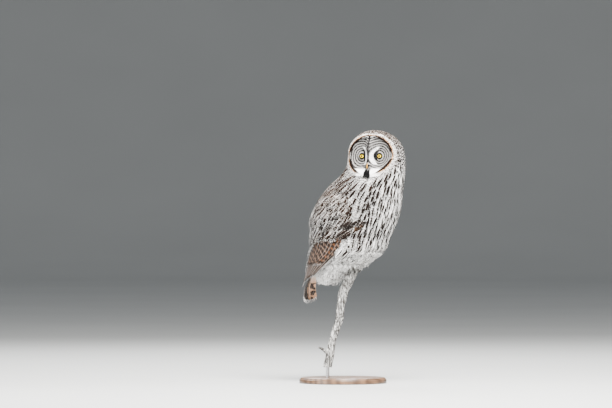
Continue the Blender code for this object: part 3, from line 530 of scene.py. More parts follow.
class Graph:
    """Short spellings for a material's nodes."""

    def __init__(self, name, roughness=0.85, **constants):
        self.material = bpy.data.materials.new(name)
        self.material.use_nodes = True
        self.tree = self.material.node_tree
        self.shader = self.tree.nodes["Principled BSDF"]
        self.shader.inputs["Roughness"].default_value = roughness
        for socket, value in constants.items():
            self.shader.inputs[socket.replace("_", " ")].default_value = value

    def node(self, kind, **settings):
        node = self.tree.nodes.new(kind)
        for key, value in settings.items():
            setattr(node, key, value)
        return node

    def put(self, socket, value):
        if isinstance(value, bpy.types.NodeSocket):
            self.tree.links.new(value, socket)
        elif isinstance(value, (tuple, list)) and len(value) == 3 and socket.type == "RGBA":
            socket.default_value = (*value, 1.0)
        else:
            socket.default_value = value

    def math(self, operation, a, b=0.0, c=0.0, clamp=False):
        node = self.node("ShaderNodeMath", operation=operation, use_clamp=clamp)
        for socket, value in zip(node.inputs, (a, b, c)):
            self.put(socket, value)
        return node.outputs[0]

    def times(self, a, b, clamp=False):
        return self.math("MULTIPLY", a, b, clamp=clamp)

    def plus(self, a, b):
        return self.math("ADD", a, b)

    def minus(self, a, b):
        return self.math("SUBTRACT", a, b)

    def step(self, value, low, high, to_low=0.0, to_high=1.0):
        node = self.node("ShaderNodeMapRange", interpolation_type="SMOOTHSTEP", clamp=True)
        for socket, v in zip(node.inputs, (value, low, high, to_low, to_high)):
            self.put(socket, v)
        return node.outputs[0]

    def mix(self, share, a, b, blend="MIX"):
        node = self.node("ShaderNodeMix", data_type="RGBA", blend_type=blend, clamp_factor=True)
        self.put(node.inputs["Factor"], share)
        self.put(node.inputs[6], a)
        self.put(node.inputs[7], b)
        return node.outputs[2]

    def noise(self, vector, scale, detail=3.0, rough=0.55, distort=0.0, kind="FBM"):
        node = self.node("ShaderNodeTexNoise", noise_type=kind)
        self.put(node.inputs["Vector"], vector)
        for key, value in (
            ("Scale", scale), ("Detail", detail), ("Roughness", rough), ("Distortion", distort)
        ):
            node.inputs[key].default_value = value
        return node.outputs["Fac"]

    def voronoi(self, vector, scale, feature="F1"):
        node = self.node("ShaderNodeTexVoronoi", feature=feature)
        self.put(node.inputs["Vector"], vector)
        node.inputs["Scale"].default_value = scale
        return node.outputs["Distance"]

    def attribute(self, name, output="Fac"):
        return self.node("ShaderNodeAttribute", attribute_name=name).outputs[output]

    def uv(self, name):
        return self.node("ShaderNodeUVMap", uv_map=name).outputs[0]

    def place(self):
        return self.node("ShaderNodeTexCoord").outputs["Object"]

    def split(self, vector):
        node = self.node("ShaderNodeSeparateXYZ")
        self.put(node.inputs[0], vector)
        return node.outputs

    def split_colour(self, colour):
        node = self.node("ShaderNodeSeparateColor")
        self.put(node.inputs[0], colour)
        return node.outputs

    def join(self, x, y, z=0.0):
        node = self.node("ShaderNodeCombineXYZ")
        for socket, value in zip(node.inputs, (x, y, z)):
            self.put(socket, value)
        return node.outputs[0]

    def scale(self, vector, by):
        node = self.node("ShaderNodeVectorMath", operation="MULTIPLY")
        self.put(node.inputs[0], vector)
        self.put(node.inputs[1], by)
        return node.outputs[0]

    def ramp(self, value, stops):
        node = self.node("ShaderNodeValToRGB")
        self.put(node.inputs[0], value)
        elements = node.color_ramp.elements
        while len(elements) < len(stops):
            elements.new(0.5)
        for element, (place, colour) in zip(elements, stops):
            element.position = place
            element.color = (*colour, 1.0)
        return node.outputs[0]

    def bump(self, height, strength, distance):
        node = self.node("ShaderNodeBump")
        self.put(node.inputs["Height"], height)
        node.inputs["Strength"].default_value = strength
        node.inputs["Distance"].default_value = distance
        self.put(self.shader.inputs["Normal"], node.outputs[0])

    def finish(self, colour, roughness=None):
        self.put(self.shader.inputs["Base Color"], colour)
        if roughness is not None:
            self.put(self.shader.inputs["Roughness"], roughness)
        return self.material


def plumage_material(name):
    """Body feathers. The mark attribute says how white, streaked, barred and brown each one is."""
    g = Graph(name, roughness=0.90, Specular_IOR_Level=0.06)
    u, v, _ = g.split(g.uv("feather"))
    white, streak, bars = list(g.split_colour(g.attribute("mark", "Color")))[:3]
    brown = g.attribute("mark", "Alpha")
    lot = g.attribute("lot")
    place = g.place()
    shift = g.times(lot, 37.0)
    local = g.join(g.times(u, 3.0), g.times(v, 4.0), shift)
    wobble = g.minus(g.noise(local, 1.6, 2.0), 0.5)
    middle = g.math("ABSOLUTE", g.minus(u, 0.5))
    middle = g.plus(middle, g.times(wobble, 0.26))
    # dark streak along the shaft, widest near the tip
    wide = g.times(g.plus(g.step(v, 0.10, 0.55, 0.45, 1.0), -0.05), g.times(streak, 0.40))
    mask = g.minus(1.0, g.step(g.minus(middle, wide), -0.03, 0.05))
    mask = g.times(mask, g.step(v, 0.86, 0.98, 1.0, 0.0))
    mask = g.times(mask, g.step(streak, 0.04, 0.20))
    # cross bars, bent a little like a chevron
    run = g.times(v, g.times(g.attribute("length"), 740.0))
    wave = g.plus(run, g.times(middle, -7.0))
    wave = g.plus(wave, g.times(wobble, 6.0))
    wave = g.math("SINE", g.plus(wave, shift))
    low_edge = g.minus(0.75, g.times(bars, 1.15))
    lines = g.step(g.minus(wave, low_edge), -0.12, 0.16)
    lines = g.times(lines, g.step(bars, 0.03, 0.22))
    ground = g.mix(white, PALE_GREY, WHITE)
    ground = g.mix(g.times(brown, 0.50), ground, BUFF)
    tint = g.mix(brown, (0.013, 0.011, 0.010), (0.020, 0.009, 0.005))
    blots = g.times(g.step(g.noise(place, 230.0, 3.0, 0.6), 0.50, 0.60), bars)
    colour = g.mix(g.times(blots, 0.75), ground, tint)
    colour = g.mix(lines, colour, tint)
    dark = g.mix(brown, DARK, (0.014, 0.006, 0.003))
    colour = g.mix(mask, colour, dark)
    colour = g.mix(g.step(v, 0.05, 0.34, 0.70, 0.0), colour, (0.06, 0.055, 0.052))
    # barbs
    barbs = g.noise(g.join(g.times(u, 46.0), g.times(v, 5.0), shift), 1.0, 2.0, 0.6)
    colour = g.mix(g.step(barbs, 0.35, 0.75, 0.0, 0.22), colour, (0.0, 0.0, 0.0))
    g.bump(g.plus(barbs, g.times(g.noise(place, 900.0, 2.0), 0.3)), 0.45, 0.0012)
    return g.finish(colour)


def skin_material(name):
    """Short down under the feathers, with the same markings."""
    g = Graph(name, roughness=0.92, Specular_IOR_Level=0.1)
    white, streak, bars = list(g.split_colour(g.attribute("mark", "Color")))[:3]
    brown = g.attribute("mark", "Alpha")
    place = g.place()
    wavy = g.noise(g.scale(place, (1.0, 1.0, 0.45)), 120.0, 3.0, 0.6, 0.6)
    ground = g.mix(white, PALE_GREY, WHITE)
    ground = g.mix(g.times(brown, 0.5), ground, BUFF)
    dark = g.mix(brown, GREY, (0.13, 0.075, 0.042))
    amount = g.times(g.step(wavy, 0.45, 0.62), g.math("MAXIMUM", streak, bars))
    colour = g.mix(g.times(amount, 0.8), ground, dark)
    colour = g.mix(0.80, colour, (0.020, 0.018, 0.017))
    g.bump(g.noise(place, 700.0, 4.0), 0.6, 0.0015)
    return g.finish(colour)


def face_material(name):
    """The facial disc: fine dark rings round each eye, white crescents and a dark line between them."""
    g = Graph(name, roughness=0.90, Specular_IOR_Level=0.06)
    place = g.place()
    across, up, _ = g.split(g.attribute("face", "Vector"))  # in millimetres from between the eyes
    size = g.math("ABSOLUTE", across)
    from_eye_x = g.minus(size, 1000 * EYE_APART)
    from_eye_y = g.plus(up, 1000 * EYE_DROP)
    radius = g.math(
        "SQRT", g.plus(g.math("POWER", from_eye_x, 2.0), g.math("POWER", g.times(from_eye_y, 0.94), 2.0))
    )
    blot = g.noise(place, 210.0, 3.0, 0.6)
    wobble = g.times(g.minus(g.noise(place, 60.0, 2.0), 0.5), 3.4)
    wave = g.math("SINE", g.times(g.plus(radius, wobble), 2 * math.pi / 7.6))
    rings = g.step(wave, -0.40, -0.10)
    rings = g.times(rings, g.step(blot, 0.24, 0.46))
    rings = g.times(rings, g.step(radius, 10.5, 14.0))
    ground = g.mix(g.noise(place, 90.0, 3.0), (0.17, 0.164, 0.160), (0.36, 0.352, 0.345))
    colour = g.mix(rings, ground, (0.007, 0.006, 0.0055))
    # white crescents: a leaning X between the eyes
    bent = g.plus(9.5, g.times(g.math("POWER", g.math("DIVIDE", g.minus(up, -6.0), 30.0), 2.0), 13.0))
    off = g.math("ABSOLUTE", g.minus(size, bent))
    white = g.times(
        g.step(off, 3.8, 6.8, 1.0, 0.0), g.step(g.math("ABSOLUTE", g.plus(up, 2.0)), 26.0, 34.0, 1.0, 0.0)
    )
    colour = g.mix(white, colour, (0.92, 0.91, 0.90))
    # dark line down the middle
    line = g.times(g.step(size, 2.4, 5.0, 1.0, 0.0), g.step(up, -34.0, -24.0))
    colour = g.mix(line, colour, (0.006, 0.005, 0.005))
    # black patch at the inner corner of each eye
    def oval(across, up, wide, tall):
        x = g.math("DIVIDE", g.minus(from_eye_x, across), wide)
        y = g.math("DIVIDE", g.minus(from_eye_y, up), tall)
        return g.math("SQRT", g.plus(g.times(x, x), g.times(y, y)))

    patch = g.times(
        g.step(oval(-2.5, 2.0, 15.5, 21.0), 0.95, 1.05, 1.0, 0.0),
        g.step(oval(7.5, -2.0, 16.5, 24.0), 0.93, 1.02)
    )
    near = g.step(radius, 10.2, 12.0, 1.0, 0.0)
    colour = g.mix(g.math("MAXIMUM", patch, near), colour, (0.003, 0.003, 0.003))
    # black bib, with grey bristles beside the bill, and white moustaches
    bib_wide = g.plus(6.5, g.times(g.step(up, -70.0, -38.0, 1.0, 0.0), 6.0))
    bib = g.times(g.step(g.minus(size, bib_wide), -1.0, 1.5, 1.0, 0.0), g.step(up, -36.0, -30.0, 1.0, 0.0))
    beard = g.times(g.step(size, 8.0, 12.0), g.step(up, -50.0, -42.0, 1.0, 0.0))
    beard = g.times(beard, g.step(size, 40.0, 48.0, 1.0, 0.0))
    colour = g.mix(beard, colour, (0.93, 0.92, 0.91))
    colour = g.mix(bib, colour, (0.003, 0.003, 0.003))
    # dark rim, thickest above and below each side, with a tawny band outside it
    out_x = g.math("DIVIDE", size, 1000 * FACE_HALF_WIDTH)
    out_y = g.math("DIVIDE", up, 1000 * FACE_HALF_HEIGHT)
    share = g.math("SQRT", g.plus(g.times(out_x, out_x), g.times(out_y, out_y)))
    share = g.plus(share, g.times(g.minus(blot, 0.5), 0.06))
    turn = g.math("ARCTAN2", out_y, out_x)
    upper = g.times(g.step(turn, 0.05, 0.30), g.step(turn, 1.00, 1.35, 1.0, 0.0))
    lower = g.times(g.step(turn, -1.25, -0.95), g.step(turn, -0.35, -0.12, 1.0, 0.0))
    thick = g.plus(g.math("MAXIMUM", upper, lower), 0.50)
    thick = g.times(thick, g.step(turn, -1.42, -1.15))
    inner_edge = g.minus(0.985, g.times(thick, 0.055))
    rim = g.times(g.step(g.minus(share, inner_edge), -0.012, 0.012), g.step(share, 0.990, 1.020, 1.0, 0.0))
    tawny = g.step(share, 0.985, 1.010)
    flecks = g.step(g.noise(place, 260.0, 2.0), 0.50, 0.58)
    band = g.step(g.plus(share, g.times(blot, 0.05)), 1.050, 1.085)
    tan = g.mix(g.step(blot, 0.40, 0.52), (0.060, 0.026, 0.012), (0.50, 0.29, 0.15))
    outside = g.mix(band, tan, (0.60, 0.58, 0.56))
    outside = g.mix(flecks, outside, g.mix(band, (0.020, 0.010, 0.006), (0.030, 0.022, 0.018)))
    colour = g.mix(g.times(tawny, g.step(turn, -1.3, -0.9)), colour, outside)
    colour = g.mix(g.times(rim, g.times(thick, 1.1, clamp=True)), colour, (0.006, 0.003, 0.002))
    fine = g.noise(place, 1500.0, 2.0)
    g.bump(fine, 0.35, 0.0008)
    return g.finish(colour)


def flight_material(name):
    """Wing and tail quills: dark brown with paler bars, tawny and white at the edge and tip."""
    g = Graph(name, roughness=0.72, Specular_IOR_Level=0.15)
    u, v, _ = g.split(g.uv("feather"))
    white, edge, bars = list(g.split_colour(g.attribute("mark", "Color")))[:3]
    brown = g.attribute("mark", "Alpha")
    shift = g.times(g.attribute("lot"), 23.0)
    local = g.join(g.times(u, 5.0), g.times(v, 16.0), shift)
    wobble = g.minus(g.noise(local, 1.3, 3.0), 0.5)
    middle = g.math("ABSOLUTE", g.minus(u, 0.5))
    wave = g.plus(g.times(v, 60.0), g.times(middle, -9.0))
    wave = g.math("SINE", g.plus(g.plus(wave, g.times(wobble, 5.0)), shift))
    lines = g.times(g.step(wave, 0.55, 0.80), bars)
    dark = g.mix(brown, (0.010, 0.008, 0.007), (0.012, 0.006, 0.003))
    pale = g.mix(brown, (0.30, 0.27, 0.24), TAWNY)
    mottle = g.noise(g.join(g.times(u, 22.0), g.times(v, 60.0), shift), 1.0, 3.0, 0.65)
    pale = g.mix(g.step(mottle, 0.50, 0.70, 0.0, 0.6), pale, dark)
    colour = g.mix(lines, dark, pale)
    # bars above 1 mark the pale peach underside of the tail, with a few dark spots
    spots = g.step(g.noise(g.place(), 62.0, 1.0), 0.56, 0.62)
    peach = g.mix(spots, (0.66, 0.37, 0.22), (0.030, 0.014, 0.008))
    peach = g.mix(g.step(v, 0.30, 0.62, 0.85, 0.0), peach, WHITE)
    colour = g.mix(g.step(bars, 1.2, 1.6), colour, peach)
    rim = g.times(g.step(middle, 0.34, 0.47), edge)
    colour = g.mix(g.times(rim, 0.85), colour, g.mix(white, TAWNY, WHITE))
    colour = g.mix(g.times(g.step(v, 0.93, 0.985), white), colour, WHITE)
    shaft = g.step(middle, 0.012, 0.030, 1.0, 0.0)
    colour = g.mix(g.times(shaft, 0.6), colour, (0.06, 0.03, 0.016))
    slant = g.plus(g.times(v, 120.0), g.times(middle, 34.0))
    barbs = g.noise(g.join(g.times(u, 3.0), slant, shift), 1.6, 2.0)
    g.bump(g.plus(barbs, g.times(shaft, 0.9)), 0.5, 0.0010)
    return g.finish(colour, g.step(barbs, 0.3, 0.7, 0.62, 0.80))


def eye_material(name):
    """Yellow iris with fine spokes, black pupil and dark outer ring, by distance from the eye's own axis."""
    g = Graph(name, roughness=0.35, Specular_IOR_Level=0.05, Coat_Weight=0.08, Coat_Roughness=0.02)
    x, y, z = g.split(g.place())
    radius = g.math("SQRT", g.plus(g.times(x, x), g.times(y, y)))
    turn = g.math("ARCTAN2", y, x)
    spokes = g.noise(g.join(g.times(turn, 9.0), g.times(radius, 300.0)), 1.4, 3.0, 0.6)
    iris = g.mix(spokes, (0.46, 0.32, 0.0), (0.66, 0.50, 0.0))
    iris = g.mix(g.step(radius, 0.0056, 0.0066), iris, (0.40, 0.20, 0.0))
    colour = g.mix(g.step(radius, 0.0034, 0.0038, 1.0, 0.0), iris, (0.002, 0.002, 0.002))
    colour = g.mix(g.step(radius, 0.0071, 0.0076), colour, (0.012, 0.009, 0.007))
    colour = g.mix(g.step(z, 0.0, 0.002, 1.0, 0.0), colour, (0.03, 0.025, 0.02))
    g.bump(spokes, 0.08, 0.0003)
    return g.finish(colour)


def horn_material(name, pale, dark, roughness, scale=1.0):
    g = Graph(name, roughness=roughness, Specular_IOR_Level=0.5)
    place = g.place()
    streaks = g.noise(g.scale(place, (1.0, 1.0, 0.25)), 420.0 * scale, 4.0, 0.6)
    blots = g.noise(place, 150.0 * scale, 3.0)
    colour = g.mix(g.step(streaks, 0.35, 0.70), pale, dark)
    colour = g.mix(g.step(blots, 0.45, 0.75, 0.0, 0.5), colour, dark)
    g.bump(streaks, 0.25, 0.0004)
    return g.finish(colour, g.step(blots, 0.3, 0.7, roughness, roughness + 0.2))


def lid_material(name):
    g = Graph(name, roughness=0.9, Specular_IOR_Level=0.03)
    place = g.place()
    creases = g.noise(place, 900.0, 4.0, 0.7)
    colour = g.mix(creases, (0.001, 0.001, 0.001), (0.006, 0.005, 0.004))
    g.bump(creases, 0.5, 0.0006)
    return g.finish(colour, g.step(creases, 0.3, 0.7, 0.80, 0.95))


def bark_material(name):
    """Weathered wood: silver grey with long cracks painted almost black as shade, darker patches and crusts
    of pale lichen.
    """
    g = Graph(name, roughness=0.9, Specular_IOR_Level=0.2)
    place = g.place()
    along = g.scale(place, (1.0, 1.0, 0.09))
    grain = g.noise(along, 330.0, 5.0, 0.65, 0.3)
    cracks = g.voronoi(g.scale(place, (1.0, 1.0, 0.10)), 130.0, "DISTANCE_TO_EDGE")
    depth = g.attribute("crack")
    crack = g.math("MAXIMUM", g.step(cracks, 0.01, 0.05, 0.45, 0.0), depth)
    patch = g.noise(place, 34.0, 4.0, 0.6, 0.4)
    colour = g.mix(g.step(grain, 0.40, 0.64), (0.008, 0.007, 0.0065), (0.46, 0.452, 0.436))
    colour = g.mix(g.step(patch, 0.48, 0.66, 0.0, 0.85), colour, (0.018, 0.015, 0.013))
    lichen = g.times(g.step(g.noise(place, 52.0, 4.0, 0.7), 0.60, 0.66), g.step(grain, 0.3, 0.6))
    colour = g.mix(g.times(lichen, 0.7), colour, (0.70, 0.70, 0.66))
    # painted shade: the cracks, sunk in the mesh and in the bump, are darkened almost to black
    colour = g.mix(g.times(crack, 0.90), colour, (0.012, 0.010, 0.008))
    height = g.minus(g.plus(grain, g.times(lichen, 0.6)), g.times(crack, 0.9))
    g.bump(height, 0.7, 0.0018)
    return g.finish(colour, g.step(grain, 0.3, 0.7, 0.82, 0.96))


def walnut_material(name):
    g = Graph(name, roughness=0.4, Coat_Weight=0.25, Coat_Roughness=0.25)
    place = g.place()
    bent = g.noise(place, 6.0, 3.0)
    rings = g.plus(g.times(g.split(place)[1], 190.0), g.times(bent, 26.0))
    rings = g.times(g.plus(g.math("SINE", rings), 1.0), 0.5)
    pores = g.noise(g.scale(place, (0.12, 1.0, 1.0)), 700.0, 4.0, 0.7)
    colour = g.mix(rings, (0.050, 0.025, 0.013), (0.125, 0.066, 0.034))
    colour = g.mix(g.step(pores, 0.50, 0.72, 0.0, 0.55), colour, (0.022, 0.011, 0.006))
    g.bump(pores, 0.15, 0.0004)
    return g.finish(colour, g.step(pores, 0.4, 0.7, 0.34, 0.55))


def steel_material(name):
    g = Graph(name, roughness=0.3, Metallic=1.0)
    place = g.place()
    brushed = g.noise(g.scale(place, (1.0, 1.0, 30.0)), 160.0, 4.0, 0.6)
    smudge = g.noise(place, 40.0, 3.0)
    colour = g.mix(brushed, (0.42, 0.42, 0.43), (0.60, 0.60, 0.61))
    colour = g.mix(g.step(smudge, 0.5, 0.8, 0.0, 0.4), colour, (0.34, 0.33, 0.32))
    g.bump(brushed, 0.12, 0.0002)
    return g.finish(colour, g.step(smudge, 0.3, 0.7, 0.24, 0.40))


def floor_material(name):
    g = Graph(name, roughness=0.95, Specular_IOR_Level=0.1)
    place = g.place()
    colour = g.mix(g.noise(place, 0.7, 2.0), (0.34, 0.345, 0.34), (0.38, 0.385, 0.38))
    g.bump(g.noise(place, 60.0, 2.0), 0.03, 0.002)
    return g.finish(colour)


# Laying feathers

def unit(vectors):
    return vectors / np.maximum(np.linalg.norm(vectors, axis=-1, keepdims=True), 1e-12)


def body_axis(points):
    """The middle of the body at the height of each point."""
    heights = np.clip(points[..., 2], 0.272, 0.80)
    x, _ = curve_points()
    forward = np.interp(heights, x, curve_part(BODY, 0))
    return np.stack((np.zeros_like(heights), -forward, points[..., 2] - 0.02), axis=-1)


def curve_points():
    return curve(BODY)


def frames(place, centre, u, v, out):
    """Points of a surface with their outward normals."""
    step_size = 2e-4
    p = place(u, v, out)
    du = place(u + step_size, v, out) - p
    dv = place(u, v + step_size, out) - p
    normals = unit(np.cross(du, dv))
    flip = np.sign(np.einsum("...i,...i->...", normals, p - centre(p)))
    return p, normals * np.where(flip == 0, 1, flip)[..., None]


def lay(
    coat, place, centre, start, end, half, root_out, tip_out, marks, shape=BODY_SHAPE, roll=0.0, roof=0.0011
):
    """Adds feathers from start to end, each (u, v) of a surface, rising from root_out to tip_out."""
    n = len(half)
    if n == 0:
        return
    t = shape[:, 0]
    u = start[0][:, None] + (end[0] - start[0])[:, None] * t
    v = start[1][:, None] + (end[1] - start[1])[:, None] * t
    ease = np.sin(0.5 * np.pi * t)
    out = np.broadcast_to(np.asarray(root_out, float), (n,))[:, None] * (1 - ease)
    out = out + np.broadcast_to(np.asarray(tip_out, float), (n,))[:, None] * ease
    middles, normals = frames(place, centre, u, v, out)
    along = np.gradient(middles, axis=1)
    along = unit(along)
    sides = unit(np.cross(normals, along))
    normals = np.cross(along, sides)
    twist = np.broadcast_to(np.asarray(roll, float), (n,)) + RNG.normal(0, 0.07, n)
    c, s = np.cos(twist)[:, None, None], np.sin(twist)[:, None, None]
    sides, normals = sides * c + normals * s, normals * c - sides * s
    coat.add(middles, sides, normals, half[:, None] * shape[None, :, 1], t, marks, roof=roof)


def wisps(coat, place, centre, start, end, half, tip_out, marks, each=3, length=0.55, thin=0.0011):
    """Loose barbs that break the edge of every feather laid from start to end."""
    n = len(half)
    for _ in range(each):
        t0 = RNG.uniform(0.45, 0.70, n)
        across = RNG.uniform(-0.85, 0.85, n)
        du, dv = end[0] - start[0], end[1] - start[1]
        scale_u, scale_v = coat_scale(place, start)
        size = np.hypot(du * scale_u, dv * scale_v)
        px, py = -dv * scale_v / size, du * scale_u / size
        u0 = start[0] + du * t0 + across * half * 0.7 * px / scale_u
        v0 = start[1] + dv * t0 + across * half * 0.7 * py / scale_v
        reach_on = RNG.uniform(0.75, 1.25, n) * length
        u1 = u0 + du * reach_on + across * half * 0.65 * px / scale_u
        v1 = v0 + dv * reach_on + across * half * 0.65 * py / scale_v
        lift = tip_out + RNG.uniform(-0.0004, 0.0016, n)
        own = marks.copy()
        own[:, 1] *= np.where(np.abs(across) < 0.25, 1.0, 0.0)
        wide = RNG.uniform(0.8, 1.5, n) * thin
        lay(
            coat, place, centre, (u0, v0), (u1, v1), wide, tip_out * 0.55, lift, own, WISP_SHAPE,
            roof=0.0006
        )


def coat_scale(place, start):
    """Metres per unit of u and v at each place."""
    e = 1e-3
    p = place(start[0], start[1], 0.0)
    return (
        np.linalg.norm(place(start[0] + e, start[1], 0.0) - p, axis=-1) / e,
        np.linalg.norm(place(start[0], start[1] + e, 0.0) - p, axis=-1) / e,
    )


def rows_round(low, high, gap, around, spacing):
    """Staggered places in rows by height and angle, lowest first. around(height) is metres per radian."""
    heights, angles = [], []
    for k, h in enumerate(np.arange(low, high, gap)):
        radius = float(around(h))
        count = max(int(2 * math.pi * radius / spacing), 6)
        a = (np.arange(count) + 0.5 * (k % 2)) / count * 2 * math.pi - math.pi
        a = a + RNG.normal(0, 0.16, count) * spacing / radius
        heights.append(h + RNG.normal(0, 0.16, count) * gap)
        angles.append((a + math.pi) % (2 * math.pi) - math.pi)
    return np.concatenate(heights), np.concatenate(angles)


def wing_inside(heights, angles, margin=0.010):
    """Whether places on the body lie under the folded wing by more than a margin."""
    front, back = look_up(WING_EDGE, heights)
    size = np.degrees(np.abs(angles))
    edge = math.degrees(margin / 0.12)
    return (size > front + edge) & (size < back - edge) & (heights < 0.665) & (heights > 0.336)


def body_marks(heights, angles):
    """White, streak, bars and brown of the body's feathers, by height and by angle from the breast."""
    n = len(heights)
    size = np.degrees(np.abs(angles))
    back = step(size, 70, 115)
    low = step(-heights, -0.520, -0.455)
    neck = step(heights, 0.655, 0.705)
    white = 1.0 - 0.45 * back
    streak = 0.08 + 0.90 * back * (1 - low)
    bars = 0.04 + 0.60 * back + 0.16 * low
    brown = 0.12 + 0.42 * back * (1 - neck) * (1 - low)
    white = white * (1 - neck * back) + 0.75 * neck * back
    bars = bars * (1 - neck * back) + 0.95 * neck * back
    streak = streak * (1 - 0.7 * neck * back)
    side = step(size, 12, 52) * (1 - back) * (1 - low)
    white = white - 0.22 * side
    bars = bars + 0.48 * side
    marks = np.stack((white, streak, bars, brown), axis=-1)
    marks += RNG.normal(0, 1, (n, 4)) * (0.12, 0.12, 0.14, 0.08)
    return np.clip(marks, 0, 1)


def body_place(angles, heights, out):
    return plume(heights, angles, out)


def belly_place(angles, heights, out):
    return plume(heights, angles, out, BELLY)


def make_body_coat(plumage):
    """The contour feathers of breast, flanks, back and neck, laid downward in rows."""
    coat = Coat("body_coat")
    radius = lambda h: 0.5 * (section(np.array([h]))[1][0] + section(np.array([h]))[2][0])
    heights, angles = rows_round(0.470, 0.752, 0.0084, radius, 0.0108)
    keep = ~wing_inside(heights, angles, 0.016)
    points = plume(heights, angles)
    share, _ = face_share(points)
    ahead = face_measures(points)[2]
    keep &= ~((share < 1.10) & (ahead > 0.02))
    heights, angles = heights[keep], angles[keep]
    n = len(heights)
    length = RNG.uniform(0.030, 0.038, n)
    size = np.abs(angles)
    lean = np.sign(angles) * step(size, 0.5, 2.4) * 0.30 + RNG.normal(0, 0.07, n)
    turn = length * np.sin(lean) / 0.12
    start = (angles, heights + 0.012)
    end = (angles + turn, heights + 0.012 - length * np.cos(lean))
    marks = body_marks(heights, angles)
    half = RNG.uniform(0.0052, 0.0068, n)
    lay(
        coat, body_place, body_axis, start, end, half, -0.0085, RNG.uniform(-0.0012, 0.0006, n), marks,
        roof=0.0006
    )
    wisps(coat, body_place, body_axis, start, end, half, 0.0006, marks, each=5)
    coat.build(plumage, ("torso", "neck"))

    # bold streaks of the breast and back, each on its own long narrow feather
    streaks = Coat("streak_coat")
    heights, angles = rows_round(0.462, 0.742, 0.0185, radius, 0.0158)
    keep = ~wing_inside(heights, angles, 0.004)
    points = plume(heights, angles)
    share, _ = face_share(points)
    keep &= ~((share < 1.22) & (face_measures(points)[2] > 0.02))
    heights, angles = heights[keep], angles[keep]
    n = len(heights)
    length = RNG.uniform(0.034, 0.058, n)
    size = np.abs(angles)
    lean = np.sign(angles) * step(size, 0.4, 2.2) * 0.25 + RNG.normal(0, 0.08, n)
    start = (angles, heights + 0.014)
    end = (angles + length * np.sin(lean) / 0.12, heights + 0.014 - length * np.cos(lean))
    marks = body_marks(heights, angles)
    fade = step(heights, 0.455, 0.52)
    marks[:, 1] = np.clip(0.70 + 0.30 * fade + RNG.normal(0, 0.14, n), 0, 1)
    marks[:, 1] *= RNG.random(n) > 0.06
    marks[:, 2] *= 0.75
    behind = step(size, 1.3, 2.0)
    marks[:, 3] = np.clip(marks[:, 3] + 0.45 * behind, 0, 1)
    half = RNG.uniform(0.0042, 0.0070, n)
    lay(streaks, body_place, body_axis, start, end, half, -0.0006, 0.0034, marks, LANCE_SHAPE, roof=0.0005)
    wisps(
        streaks, body_place, body_axis, start, end, half, 0.0016, marks * (1, 0, 0, 1), each=1, length=0.4
    )
    streaks.build(plumage, ("torso", "neck"))


def make_belly_coat(plumage):
    """The loose white feathers of belly, flanks and vent, longest along the lower edge."""
    coat = Coat("belly_coat")
    radius = lambda h: 0.5 * (section(np.array([h]), BELLY)[1][0] + section(np.array([h]), BELLY)[2][0])
    heights, angles = rows_round(0.350, 0.4700, 0.0082, radius, 0.0105)
    heights = np.minimum(heights, 0.4575)
    n = len(heights)
    length = RNG.uniform(0.028, 0.040, n)
    start = (angles, heights + 0.006)
    end = (angles + RNG.normal(0, 0.08, n), heights + 0.006 - length * 0.55)
    white = np.clip(0.93 + RNG.normal(0, 0.06, n), 0, 1)
    marks = np.stack((white, 0.8 * RNG.random(n) ** 3, 0.30 * RNG.random(n), 0.10 * RNG.random(n)), axis=-1)
    half = RNG.uniform(0.0044, 0.0062, n)
    start = (start[0], np.minimum(start[1], 0.4575))
    end = (end[0], np.maximum(end[1], 0.341))
    lay(coat, belly_place, body_axis, start, end, half, -0.0085, 0.0000, marks, roof=0.0005)
    wisps(coat, belly_place, body_axis, start, end, half, 0.0012, marks, each=5, thin=0.0009)
    fringe_locks(coat)
    coat.build(plumage, ("torso",))


def fringe_locks(coat):
    for height, wide, count, half, hang, lean in FRINGE_ROWS:
        a = np.radians(np.linspace(-wide, wide, count)) + RNG.normal(0, 0.04, count)
        h = height + RNG.normal(0, 0.0035, count)
        root = plume(h, a, -0.006, BELLY)
        out = unit(plume(h, a, 0.0, BELLY) - root)
        drop = hang * RNG.uniform(0.55, 1.35, count) * (0.55 + 0.45 * step(np.abs(a), 0.5, 1.4))
        t = LANCE_SHAPE[:, 0]
        ease = np.sin(0.5 * np.pi * t)
        middles = root[:, None] + out[:, None] * (0.0075 * ease - 0.0045 * t**2)[None, :, None]
        middles[..., 2] -= drop[:, None] * t
        middles[..., 1] += lean * t**2 * RNG.uniform(0.2, 1.6, (count, 1))
        along = unit(np.gradient(middles, axis=1))
        sides = unit(np.cross(np.broadcast_to(out[:, None], middles.shape), along))
        normals = np.cross(along, sides)
        n = count
        marks = np.stack(
            (np.full(n, 0.97), 0.2 * RNG.random(n), 0.2 * RNG.random(n), 0.08 * RNG.random(n)), axis=-1
        )
        widths = half * RNG.uniform(0.8, 1.15, n)[:, None] * LANCE_SHAPE[None, :, 1]
        coat.add(middles, sides, normals, widths, t, marks)
        for _ in range(3):
            shift = RNG.normal(0, 0.004, (n, 1, 1)) * sides[:, :1]
            spread = RNG.normal(0, 0.004, (n, 1, 1)) * sides * t[None, :, None]
            thin = 0.0013 * RNG.uniform(0.7, 1.3, n)[:, None] * LANCE_SHAPE[None, :, 1]
            longer = middles + shift + spread + normals * 0.001
            longer[..., 2] -= (0.004 * RNG.random(n))[:, None] * t
            coat.add(longer, sides, normals, thin, t, marks, roof=0.0006)


# Head

def head_way(turn, polar):
    side = LEFT * np.cos(turn)[..., None] + UP * np.sin(turn)[..., None]
    return AHEAD * np.cos(polar)[..., None] + side * np.sin(polar)[..., None]


def head_dome(turn, polar, out):
    """The head behind the facial disc: turn round the face's axis from the bird's left, polar from ahead."""
    way = head_way(turn, polar)
    return HEAD_CENTRE + way * (reach(way) + out)[..., None]


def head_centre(points):
    return np.broadcast_to(HEAD_CENTRE - AHEAD * 0.01, points.shape)


